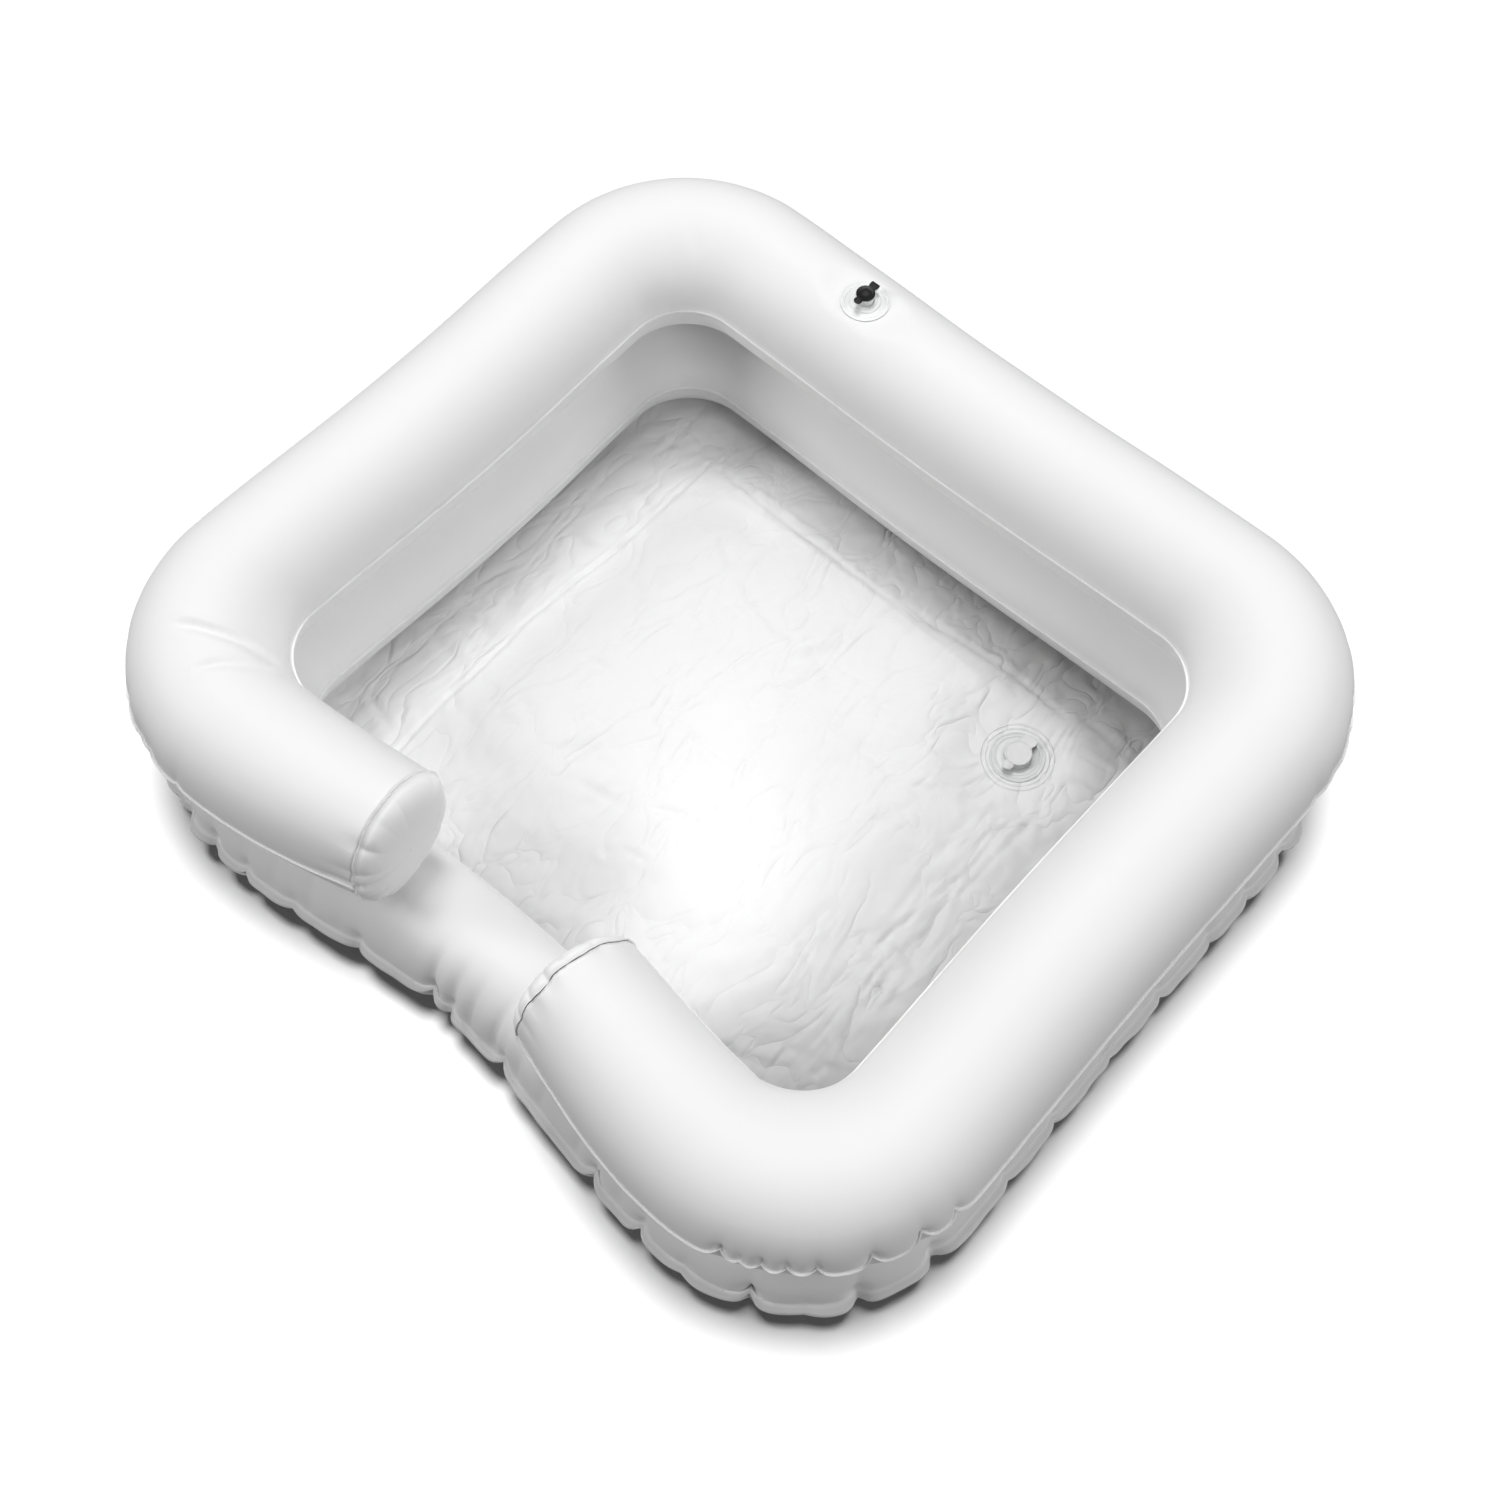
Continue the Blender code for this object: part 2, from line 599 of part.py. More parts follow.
def build_plug(name, frame, low, sizes, colour, parts, cutters):
    """Adds a cap: disc, tapered plug, finger tab and strap, in one moulding, and returns it.

    sizes holds radius, thickness, plug radius, plug depth, plug taper, tab radius, tab reach,
    strap reach, strap width and strap thickness.
    """
    (radius, thickness, plug_radius, plug_depth, taper, tab_radius, tab_reach,
     strap_reach, strap_width, strap_thickness) = sizes
    high = low + thickness
    cap = add_object(name, cylinder_mesh(name, radius, low, high), parts, colour=colour)
    inside = (low + high) / 2
    plug = cylinder_mesh(name + "_plug", plug_radius - taper, low - plug_depth, inside, plug_radius)
    tab = cylinder_mesh(name + "_tab", tab_radius, low, high - strap_thickness / 2)
    tab.transform(Matrix.Translation((0, -tab_reach, 0)))
    strap_low = (-strap_width / 2, 0, low)
    strap_high = (strap_width / 2, strap_reach, low + strap_thickness)
    strap = box_mesh(name + "_strap", strap_low, strap_high)
    offset = Matrix.Translation((0, -strap_reach, -low))
    axis_frame = frame @ offset.inverted()
    cap.data.transform(offset)
    cap.matrix_world = axis_frame
    for mesh in (plug, tab, strap):
        mesh.transform(offset)
        join(cap, add_object(mesh.name, mesh, cutters, matrix=axis_frame))
    return cap


def keep_in_place(child, parent):
    """Parents a piece without moving it."""
    matrix = child.matrix_world.copy()
    child.parent = parent
    child.matrix_parent_inverse = parent.matrix_world.inverted()
    child.matrix_world = matrix


def build_valve(prefix, seat, parts, cutters):
    """Adds one air valve: flange, sliding stem, hinged cap and the check flap inside."""
    build_valve_flange(prefix + "_valve_flange", seat, parts)
    stem = build_valve_stem(prefix + "_valve_stem", seat, parts, cutters)
    sizes = (CAP_RADIUS, CAP_THICKNESS, STEM_BORE_RADIUS - FIT_GAP, PLUG_DEPTH, PLUG_TAPER,
             TAB_RADIUS, TAB_REACH, STRAP_REACH, STRAP_WIDTH, STRAP_THICKNESS)
    cap = build_plug(prefix + "_valve_cap", seat, STEM_HEIGHT + FIT_GAP, sizes, SMOKED_VINYL,
                     parts, cutters)
    flap_top = -STEM_DEPTH - FIT_GAP
    name = prefix + "_valve_flap"
    mesh = cylinder_mesh(name, FLAP_RADIUS, flap_top - FLAP_THICKNESS, flap_top)
    offset = Matrix.Translation((0, -FLAP_RADIUS, -flap_top))
    mesh.transform(offset)
    flap = add_object(name, mesh, parts, colour=CLEAR_VINYL, matrix=seat @ offset.inverted())
    bpy.context.view_layer.update()
    keep_in_place(cap, stem)
    keep_in_place(flap, stem)


def build_drain(seat, parts, cutters):
    """Adds the drain: flanged neck through the pad, outlet ring on the bottom sheet, and stopper."""
    flange_top = FIT_GAP + DRAIN_FLANGE_THICKNESS
    foot = -DRAIN_HEIGHT
    profile = [(DRAIN_BORE_RADIUS, DRAIN_RIM_TOP), (DRAIN_NECK_RADIUS, DRAIN_RIM_TOP),
               (DRAIN_NECK_RADIUS, flange_top), (DRAIN_FLANGE_RADIUS, flange_top),
               (DRAIN_FLANGE_RADIUS, FIT_GAP), (DRAIN_NECK_RADIUS, FIT_GAP),
               (DRAIN_NECK_RADIUS, foot), (DRAIN_BORE_RADIUS, foot)]
    neck = add_turned("drain_flange", profile, parts, colour=CLEAR_VINYL, matrix=seat)
    lug_start = STOPPER_STRAP_REACH - DRAIN_LUG_LENGTH
    low = (-STOPPER_STRAP_WIDTH / 2, lug_start, (FIT_GAP + flange_top) / 2)
    high = (STOPPER_STRAP_WIDTH / 2, STOPPER_STRAP_REACH, DRAIN_RIM_TOP)
    mesh = box_mesh("drain_lug", low, high)
    join(neck, add_object("drain_lug", mesh, cutters, matrix=seat))
    socket_bore = DRAIN_NECK_RADIUS + FIT_GAP
    socket_radius = socket_bore + OUTLET_SOCKET_WALL
    ring_low = FILM + FIT_GAP
    ring_top = ring_low + DRAIN_FLANGE_THICKNESS
    profile = [(socket_bore, ring_low + OUTLET_SOCKET_HEIGHT),
               (socket_radius, ring_low + OUTLET_SOCKET_HEIGHT), (socket_radius, ring_top),
               (OUTLET_FLANGE_RADIUS, ring_top), (OUTLET_FLANGE_RADIUS, ring_low),
               (socket_bore, ring_low)]
    place = Matrix.Translation((DRAIN_X, DRAIN_Y, 0))
    add_turned("drain_outlet_ring", profile, parts, colour=CLEAR_VINYL, matrix=place)
    sizes = (STOPPER_RADIUS, STOPPER_THICKNESS, DRAIN_BORE_RADIUS - FIT_GAP, STOPPER_PLUG_DEPTH,
             STOPPER_PLUG_TAPER, STOPPER_NUB_RADIUS, STOPPER_NUB_REACH, STOPPER_STRAP_REACH,
             STOPPER_STRAP_WIDTH, STOPPER_STRAP_THICKNESS)
    stopper = build_plug("drain_stopper", seat, DRAIN_RIM_TOP + FIT_GAP, sizes, WHITE_STOPPER,
                         parts, cutters)
    bpy.context.view_layer.update()
    keep_in_place(stopper, neck)


def build_basin():
    """Builds the whole basin."""
    clear_scene()
    parts = make_collection("portable_shampoo_basin")
    cutters = make_collection("cutters")
    upper = ring_stations(UPPER_NECK_BOW, closed=False)
    lower = ring_stations(LOWER_NECK_BOW, closed=True)
    crest_column = CREST_STEPS // 2 + 1
    upper_top, upper_seat = build_ring_sheet("upper_ring_top_sheet", upper, False, UPPER_TUBE,
                                             CREST_STEPS, 1, parts, crest_column)
    build_ring_sheet("upper_ring_bottom_sheet", upper, False, UPPER_TUBE, ARC_STEPS, -1, parts)
    build_end_cap("right_end_cap", upper, 0, parts, cutters)
    build_end_cap("left_end_cap", upper, -1, parts, cutters)
    outer_column = ARC_STEPS - 1
    lower_top, lower_seat = build_ring_sheet("lower_ring_top_sheet", lower, True, LOWER_TUBE,
                                             ARC_STEPS, 1, parts, outer_column)
    build_ring_sheet("lower_ring_bottom_sheet", lower, True, LOWER_TUBE, ARC_STEPS, -1, parts)
    cut_film(upper_top, upper_seat, VALVE_FILM_HOLE_RADIUS, cutters)
    cut_film(lower_top, lower_seat, VALVE_FILM_HOLE_RADIUS, cutters)
    drain_seat, floor_seat = build_floor_top(lower, parts, cutters)
    build_floor_bottom(lower, parts, cutters)
    build_valve("upper_ring", upper_seat, parts, cutters)
    build_valve("lower_ring", lower_seat, parts, cutters)
    build_valve("floor", floor_seat, parts, cutters)
    build_drain(drain_seat, parts, cutters)


build_basin()
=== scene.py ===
"""Looks of the portable shampoo basin: inflated vinyl skins, air valves, drain, finishes and light.

Lengths are in metres, in the frame of the CAD part: +X along the width, -Y is the neck side, +Z up.
A skin is one sheet of film; its open side is closed by the film's own thickness.
"""
import logging
import math
from dataclasses import dataclass, field
from enum import Enum

import bpy
import numpy as np
from mathutils import Matrix, Vector


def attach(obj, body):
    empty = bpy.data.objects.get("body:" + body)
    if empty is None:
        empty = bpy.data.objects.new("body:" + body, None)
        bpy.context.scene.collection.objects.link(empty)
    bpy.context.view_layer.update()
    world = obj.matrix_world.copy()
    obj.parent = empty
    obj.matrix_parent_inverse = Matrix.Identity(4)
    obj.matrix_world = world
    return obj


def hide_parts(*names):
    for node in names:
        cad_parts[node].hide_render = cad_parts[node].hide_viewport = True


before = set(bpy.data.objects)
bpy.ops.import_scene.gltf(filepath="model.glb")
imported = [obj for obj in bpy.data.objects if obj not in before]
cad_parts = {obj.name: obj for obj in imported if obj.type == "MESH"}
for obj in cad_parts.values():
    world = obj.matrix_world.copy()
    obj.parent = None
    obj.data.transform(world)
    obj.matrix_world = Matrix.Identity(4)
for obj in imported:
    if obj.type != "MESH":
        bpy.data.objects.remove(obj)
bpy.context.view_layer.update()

LOG = logging.getLogger("basin")
FILM = 0.0004
SEAM_HALF = 0.00045
NOISE_WAVES = 14
NOISE_GAIN = 2.2
SHARP_EDGE = math.radians(38)


class Slot(Enum):
    """Material slots of the record."""

    WHITE_FILM = "white_film"
    CLEAR_VINYL = "clear_vinyl"
    SMOKED_VINYL = "smoked_vinyl"
    WHITE_VINYL = "white_vinyl"


class Side(Enum):
    """Upper or lower sheet of a tube; the value is the sign of its height."""

    TOP = 1
    BOTTOM = -1


# ---------------------------------------------------------------- number helpers


def ease(share: np.ndarray) -> np.ndarray:
    """Smooth step from 0 to 1, level at both ends."""
    share = np.clip(share, 0.0, 1.0)
    return share * share * (3 - 2 * share)


def soft_noise(points: np.ndarray, wavelength: float, seed: int) -> np.ndarray:
    """Smooth noise between about -1 and 1: the mean of waves in random directions.

    Args:
        points: Places as [..., 3].
        wavelength: Typical length of one wave.
        seed: Start of the random numbers.

    Returns:
        One value for each place.
    """
    random = np.random.default_rng(seed)
    ways = random.normal(size=(NOISE_WAVES, 3))
    ways /= np.linalg.norm(ways, axis=1)[:, None]
    numbers = math.tau / (wavelength * random.uniform(0.7, 1.5, NOISE_WAVES))
    phases = random.uniform(0, math.tau, NOISE_WAVES)
    waves = np.sin(points @ (ways * numbers[:, None]).T + phases)
    return waves.mean(axis=-1) * NOISE_GAIN


def bell(value: np.ndarray, width: float | np.ndarray) -> np.ndarray:
    """Bell of height 1 round zero that has fallen to 1/e at that width."""
    return np.exp(-((value / width) ** 2))


def direction(azimuth: float, elevation: float) -> Vector:
    """Way to a place that many degrees round from the neck side and up from the floor."""
    turn, rise = math.radians(azimuth), math.radians(elevation)
    flat = math.cos(rise)
    return Vector((math.sin(turn) * flat, -math.cos(turn) * flat, math.sin(rise)))


def axes_frame(side: Vector, way: Vector, up: Vector, centre: Vector) -> Matrix:
    """Frame at a centre from its three axes."""
    return Matrix.Translation(centre) @ Matrix((side, way, up)).transposed().to_4x4()


@dataclass(frozen=True)
class Marks:
    """Dents along a line: where, how deep, how wide along the line, how far they reach from it."""

    places: np.ndarray
    depths: np.ndarray
    widths: np.ndarray
    reaches: np.ndarray

    def field(self, along: np.ndarray, away: np.ndarray, loop: float = 0.0) -> np.ndarray:
        """Depth of all dents together, as bells along the line that fade away from it.

        Args:
            along: Positions along the line.
            away: Distances from the line.
            loop: Length of the line if it is closed.

        Returns:
            The depth as an array [along, away].
        """
        gaps = along[None, :] - self.places[:, None]
        if loop:
            gaps = (gaps + loop / 2) % loop - loop / 2
        bells = self.depths[:, None] * np.exp(-np.abs(gaps / self.widths[:, None]) ** 1.2)
        fades = bell(away[None, :], self.reaches[:, None])
        return np.einsum("ks,kc->sc", bells, fades)


@dataclass(frozen=True)
class Crease:
    """A fold along a line in plan: its points, depth (a ridge if negative) and half width."""

    points: tuple[tuple[float, float], ...]
    depth: float
    width: float
    uneven: float = 0.7
    patch: float = 0.028
    lip: float = 0.2

    def field(self, x: np.ndarray, y: np.ndarray) -> np.ndarray:
        """Depth of the fold: an uneven bell across the line, with a low lip beside it.

        Args:
            x: Places in plan along X.
            y: Places in plan along Y.

        Returns:
            One depth for each place.
        """
        line = np.array(self.points) / 1000
        places = np.stack([x, y, 0 * x], axis=-1)
        rough = soft_noise(places, self.patch, len(self.points))
        depth = self.depth * (1.0 + self.uneven * rough)
        distance = np.full(x.shape, 1.0)
        for start, end in zip(line[:-1], line[1:]):
            step = end - start
            share = ((x - start[0]) * step[0] + (y - start[1]) * step[1]) / (step @ step)
            share = np.clip(share, 0, 1)
            gap = np.hypot(x - start[0] - share * step[0], y - start[1] - share * step[1])
            distance = np.minimum(distance, gap)
        lip = np.exp(-((distance / self.width / 2 - 1.1) ** 2) * 3)
        return depth * (bell(distance, self.width) - self.lip * lip)


@dataclass(frozen=True)
class Stroke:
    """A short wrinkle in plan, straight and tapering to both ends."""

    x: float
    y: float
    turn: float
    length: float
    width: float
    depth: float
    bend: float = 3.0
    ridge: float = 0.45
    ridge_at: float = 1.9

    def field(self, x: np.ndarray, y: np.ndarray) -> np.ndarray:
        """Depth of the wrinkle: a bell across it less a lower one beside it, fading to its ends.

        Args:
            x: Places in plan along X.
            y: Places in plan along Y.

        Returns:
            One depth for each place.
        """
        cos, sin = math.cos(self.turn), math.sin(self.turn)
        along = (x - self.x) * cos + (y - self.y) * sin
        across = (y - self.y) * cos - (x - self.x) * sin
        across = across + along ** 2 * self.bend
        valley = bell(across, self.width)
        ridge = bell(across - self.ridge_at * self.width, self.width)
        return self.depth * (valley - self.ridge * ridge) * bell(along, self.length)


# ---------------------------------------------------------------- plan of the rings


@dataclass(frozen=True)
class RingPlan:
    """Plan of a ring's middle line, with how far each side is drawn in at its middle."""

    half_width: float = 0.298
    half_depth: float = 0.262
    corner_radius: float = 0.083
    neck_bow: float = 0.012
    far_bow: float = 0.0035
    left_bow: float = 0.0045
    right_bow: float = 0.002
    corner_fill: float = 0.30
    neck_outer_slim: float = 0.24
    neck_inner_slim: float = 0.08
    gap: float = 0.0


class RingPath:
    """Middle line of a ring as dense stations, anticlockwise from the neck side's middle."""

    FINE = 0.0016
    MEDIUM = 0.0030
    COARSE = 0.0040
    DENSE_HALF = 0.032
    DENSE_COUNT = 39
    DENSE_MARGIN = 0.002

    def __init__(self, plan: RingPlan, dense_at: tuple[float, ...] = ()) -> None:
        """Lays the stations out.

        Args:
            plan: Sizes of the plan.
            dense_at: Places along X on the far side that need closer stations.
        """
        self.plan = plan
        reach_x = plan.half_width - plan.corner_radius
        reach_y = plan.half_depth - plan.corner_radius
        self.reach_x = reach_x
        runs = [self._side(plan.gap, reach_x, self.MEDIUM, (0, -1), plan.neck_bow),
                self._corner(reach_x, -reach_y, -90),
                self._side(-reach_y, reach_y, self.MEDIUM, (1, 0), plan.right_bow),
                self._corner(reach_x, reach_y, 0),
                self._side(reach_x, -reach_x, self.COARSE, (0, 1), plan.far_bow, dense_at),
                self._corner(-reach_x, reach_y, 90),
                self._side(reach_y, -reach_y, self.COARSE, (-1, 0), plan.left_bow),
                self._corner(-reach_x, -reach_y, 180),
                self._side(-reach_x, -plan.gap, self.MEDIUM, (0, -1), plan.neck_bow)]
        if plan.gap:
            runs.append(self._end_point())
        table = np.concatenate(runs)
        self.places, self.corner, self.neck = table[:, :2], table[:, 2], table[:, 3]
        if plan.gap:
            tangents = np.gradient(self.places, axis=0)
            steps = np.linalg.norm(np.diff(self.places, axis=0), axis=1)
            self.length = 0.0
        else:
            tangents = np.roll(self.places, -1, axis=0) - np.roll(self.places, 1, axis=0)
            closed = np.concatenate([self.places, self.places[:1]])
            steps = np.linalg.norm(np.diff(closed, axis=0), axis=1)
            self.length = float(steps.sum())
            steps = steps[:-1]
        tangents /= np.linalg.norm(tangents, axis=1)[:, None]
        self.outwards = np.stack([tangents[:, 1], -tangents[:, 0]], axis=1)
        self.along = np.concatenate([[0.0], np.cumsum(steps)])

    def _side(self, start: float, end: float, spacing: float, outward: tuple[int, int],
              bow: float, dense_at: tuple[float, ...] = ()) -> np.ndarray:
        """Stations of one side without its last one.

        Args:
            start: Where it begins along its own axis.
            end: Where it ends.
            spacing: Usual distance between stations.
            outward: Way out of the ring.
            bow: How far the side is drawn in at its middle.
            dense_at: Places that need closer stations.

        Returns:
            Rows of x, y, corner weight and neck weight.
        """
        spots = np.linspace(start, end, round(abs(end - start) / spacing) + 1)[:-1]
        for centre in dense_at:
            half = self.DENSE_HALF
            spots = spots[np.abs(spots - centre) > half + self.DENSE_MARGIN]
            dense = centre + np.linspace(-half, half, self.DENSE_COUNT)
            spots = np.concatenate([spots, dense])
        spots = np.sort(spots)[:: 1 if end > start else -1]
        across = bool(outward[0])
        reach = (self.plan.half_depth if across else self.plan.half_width) - self.plan.corner_radius
        middle = np.cos(math.pi * spots / reach / 2) ** 2
        drawn = bow * middle
        size = self.plan.half_width if across else self.plan.half_depth
        fixed = sum(outward) * (size - drawn)
        neck = middle if outward == (0, -1) else 0 * spots
        columns = (fixed, spots) if across else (spots, fixed)
        return np.stack([*columns, 0 * spots, neck], axis=1)

    def _corner(self, centre_x: float, centre_y: float, first: float) -> np.ndarray:
        """Stations round a corner without its last one.

        Args:
            centre_x: Centre of the corner along X.
            centre_y: Centre of the corner along Y.
            first: Turn of its first station in degrees.

        Returns:
            Rows of x, y, corner weight and neck weight.
        """
        radius = self.plan.corner_radius
        count = round(radius * math.pi / 2 / self.FINE)
        turns = np.radians(np.linspace(first, first + 90, count + 1)[:-1])
        x = centre_x + radius * np.cos(turns)
        y = centre_y + radius * np.sin(turns)
        return np.stack([x, y, np.abs(np.sin(2 * turns)), 0 * turns], axis=1)

    def _end_point(self) -> np.ndarray:
        """The last station, at the end of the left arm."""
        weight = math.cos(math.pi * self.plan.gap / self.reach_x / 2) ** 2
        y = -self.plan.half_depth + self.plan.neck_bow * weight
        return np.array([[-self.plan.gap, y, 0.0, weight]])

    def fitted(self, offsets: np.ndarray) -> np.ndarray:
        """Offsets as they are at each station: rounder inside the corners, slimmer at the neck.

        An inner corner is an arc that is wider than the middle line's by a share of the offset, so
        its centre lies further in; the offset is where the station's normal meets that arc.

        Args:
            offsets: Offsets as [column] or [station, column], positive outwards.

        Returns:
            The offsets as [station, column].
        """
        plan = self.plan
        offsets = np.atleast_2d(offsets)
        wider = plan.corner_fill * np.maximum(-offsets, 0) * np.ones((len(self.places), 1))
        arc = plan.corner_radius + np.minimum(offsets, 0) + wider
        centre = np.array([self.reach_x, plan.half_depth - plan.corner_radius])
        gap = np.abs(self.places)[:, None, :] - centre + wider[..., None]
        normal = np.abs(self.outwards)[:, None, :]
        facing = (gap * normal).sum(axis=2)
        root = np.sqrt(np.maximum(facing ** 2 - (gap ** 2).sum(axis=2) + arc ** 2, 0))
        rounded = np.where((gap > 0).all(axis=2) & (wider > 0), root - facing, offsets)
        inner = rounded * (1 - plan.neck_inner_slim * self.neck[:, None])
        outer = (1 - plan.neck_outer_slim * self.neck)[:, None] * offsets
        return np.where(offsets < 0, inner, outer)

    def carry(self, offsets: np.ndarray, heights: np.ndarray) -> np.ndarray:
        """Puts offsets and heights at the stations.

        Args:
            offsets: Offsets as [station, column].
            heights: Heights as [station, column] or [column].

        Returns:
            Points as [station, column, 3].
        """
        plan = self.places[:, None, :] + self.outwards[:, None, :] * offsets[:, :, None]
        heights = np.broadcast_to(heights, offsets.shape)
        return np.concatenate([plan, heights[:, :, None]], axis=2)

    def locate(self, spots: tuple[tuple[float, float], ...], offset: float) -> np.ndarray:
        """Finds the stations nearest to spots.

        Args:
            spots: Places in plan in millimetres.
            offset: How far outwards of the middle line the spots lie.

        Returns:
            Positions along the path.
        """
        rim = self.places + self.outwards * offset
        goal = np.array(spots) / 1000
        gaps = np.linalg.norm(rim[None] - goal[:, None], axis=2)
        return self.along[gaps.argmin(axis=1)]

    def outline(self, offset: float, spots: np.ndarray) -> np.ndarray:
        """Points in plan at one offset of a closed path.

        Args:
            offset: Distance outwards of the middle line.
            spots: Positions along the path.

        Returns:
            Places in plan, one for each position.
        """
        points = self.places + self.outwards * self.fitted(np.array([offset]))
        along = np.append(self.along, self.length)
        columns = [np.interp(spots, along, np.append(column, column[0])) for column in points.T]
        return np.stack(columns, axis=-1)


# ---------------------------------------------------------------- meshes


class Skin:
    """A sheet of film as a grid of points, with attributes at its points."""

    BELOW = 0.03
    NEAR = 0.02
    SNAP = 0.0013

    def __init__(self, points: np.ndarray, closed: bool, even: bool = True) -> None:
        """Takes the points.

        Args:
            points: Points as [row, column, 3].
            closed: Whether the last row joins the first.
            even: Whether the film keeps its thickness in tight bends.
        """
        self.points = points
        self.closed = closed
        self.even = even
        self.values: dict[str, np.ndarray] = {}
        self.keep = np.ones((points.shape[0] - (not closed), points.shape[1] - 1), dtype=bool)

    def mark(self, name: str, values: np.ndarray) -> None:
        """Keeps an attribute, with one value for each point or each column."""
        self.values[name] = np.broadcast_to(values, self.points.shape[:2])

    def press(self, seat: Matrix, flat: float, reach: float, rise: float) -> None:
        """Presses the film flat under a fitting.

        Args:
            seat: Frame of the fitting, +Z out of the film.
            flat: Radius that lies in the seat's plane.
            reach: Width over which the film comes free again.
            rise: How far the free film may stand above the plane.
        """
        normal = np.array(seat.col[2][:3])
        offset = self.points - np.array(seat.translation)
        height = offset @ normal
        radius = np.linalg.norm(offset - height[..., None] * normal, axis=2)
        limit = rise * ease((radius - flat) / reach)
        near = (radius < flat + reach) & (height > -self.BELOW)
        excess = np.where(near, np.maximum(height - limit, 0), 0)
        self.points = self.points - excess[..., None] * normal

    def pierce(self, seat: Matrix, radius: float) -> None:
        """Cuts a round hole: points near its rim move on to it, and the cells inside it go.

        Args:
            seat: Frame of the hole, +Z along its axis.
            radius: Radius of the hole.
        """
        inverse = np.array(seat.inverted())
        local = self.points @ inverse[:3, :3].T + inverse[:3, 3]
        gap = np.hypot(local[..., 0], local[..., 1])
        near = (np.abs(local[..., 2]) < self.NEAR) & (np.abs(gap - radius) < self.SNAP)
        scale = np.where(near, radius / np.maximum(gap, 1e-6), 1.0)
        local[..., :2] *= scale[..., None]
        matrix = np.array(seat)
        moved = local @ matrix[:3, :3].T + matrix[:3, 3]
        self.points = np.where(near[..., None], moved, self.points)
        rows = np.concatenate([local, local[:1]]) if self.closed else local
        middle = (rows[:-1, :-1] + rows[1:, :-1] + rows[:-1, 1:] + rows[1:, 1:]) / 4
        inside = np.hypot(middle[..., 0], middle[..., 1]) < radius
        self.keep &= ~(inside & (np.abs(middle[..., 2]) < self.NEAR))

    def build(self, name: str, material: bpy.types.Material, flip: bool) -> bpy.types.Object:
        """Makes the object, with the film's thickness behind its faces.

        Args:
            name: Name of the object.
            material: Its material.
            flip: Whether the faces look the other way.

        Returns:
            The object.
        """
        rows, columns = self.points.shape[:2]
        number = np.arange(rows * columns).reshape(rows, columns)
        below = np.roll(number, -1, axis=0) if self.closed else number[1:]
        here = number if self.closed else number[:-1]
        cells = np.stack([here[:, :-1], here[:, 1:], below[:, 1:], below[:, :-1]], axis=2)
        cells = cells[self.keep]
        if flip:
            cells = cells[:, ::-1]
        used, cells = np.unique(cells, return_inverse=True)
        cells = cells.reshape(-1, 4)
        points = self.points.reshape(-1, 3)[used]
        values = {key: value.reshape(-1)[used] for key, value in self.values.items()}
        item = make_object(name, points, cells, material, values)
        film = item.modifiers.new("film", "SOLIDIFY")
        film.thickness = FILM
        film.offset = -1.0
        film.use_even_offset = self.even
        return item


def make_object(name: str, points: np.ndarray, cells: np.ndarray | list,
                material: bpy.types.Material,
                values: dict[str, np.ndarray] | None = None) -> bpy.types.Object:
    """Makes a smooth-shaded object from points and faces.

    Args:
        name: Name of the object and its mesh.
        points: Points as [point, 3].
        cells: Faces as lists of point numbers.
        material: Its material.
        values: Attributes with one value for each point.

    Returns:
        The object.
    """
    mesh = bpy.data.meshes.new(name)
    mesh.from_pydata(points.tolist(), [], cells if isinstance(cells, list) else cells.tolist())
    for key, value in (values or {}).items():
        layer = mesh.attributes.new(key, "FLOAT", "POINT")
        layer.data.foreach_set("value", np.ascontiguousarray(value, dtype=np.float32))
    mesh.materials.append(material)
    mesh.shade_smooth()
    mesh.update()
    item = bpy.data.objects.new(name, mesh)
    bpy.context.scene.collection.objects.link(item)
    return item


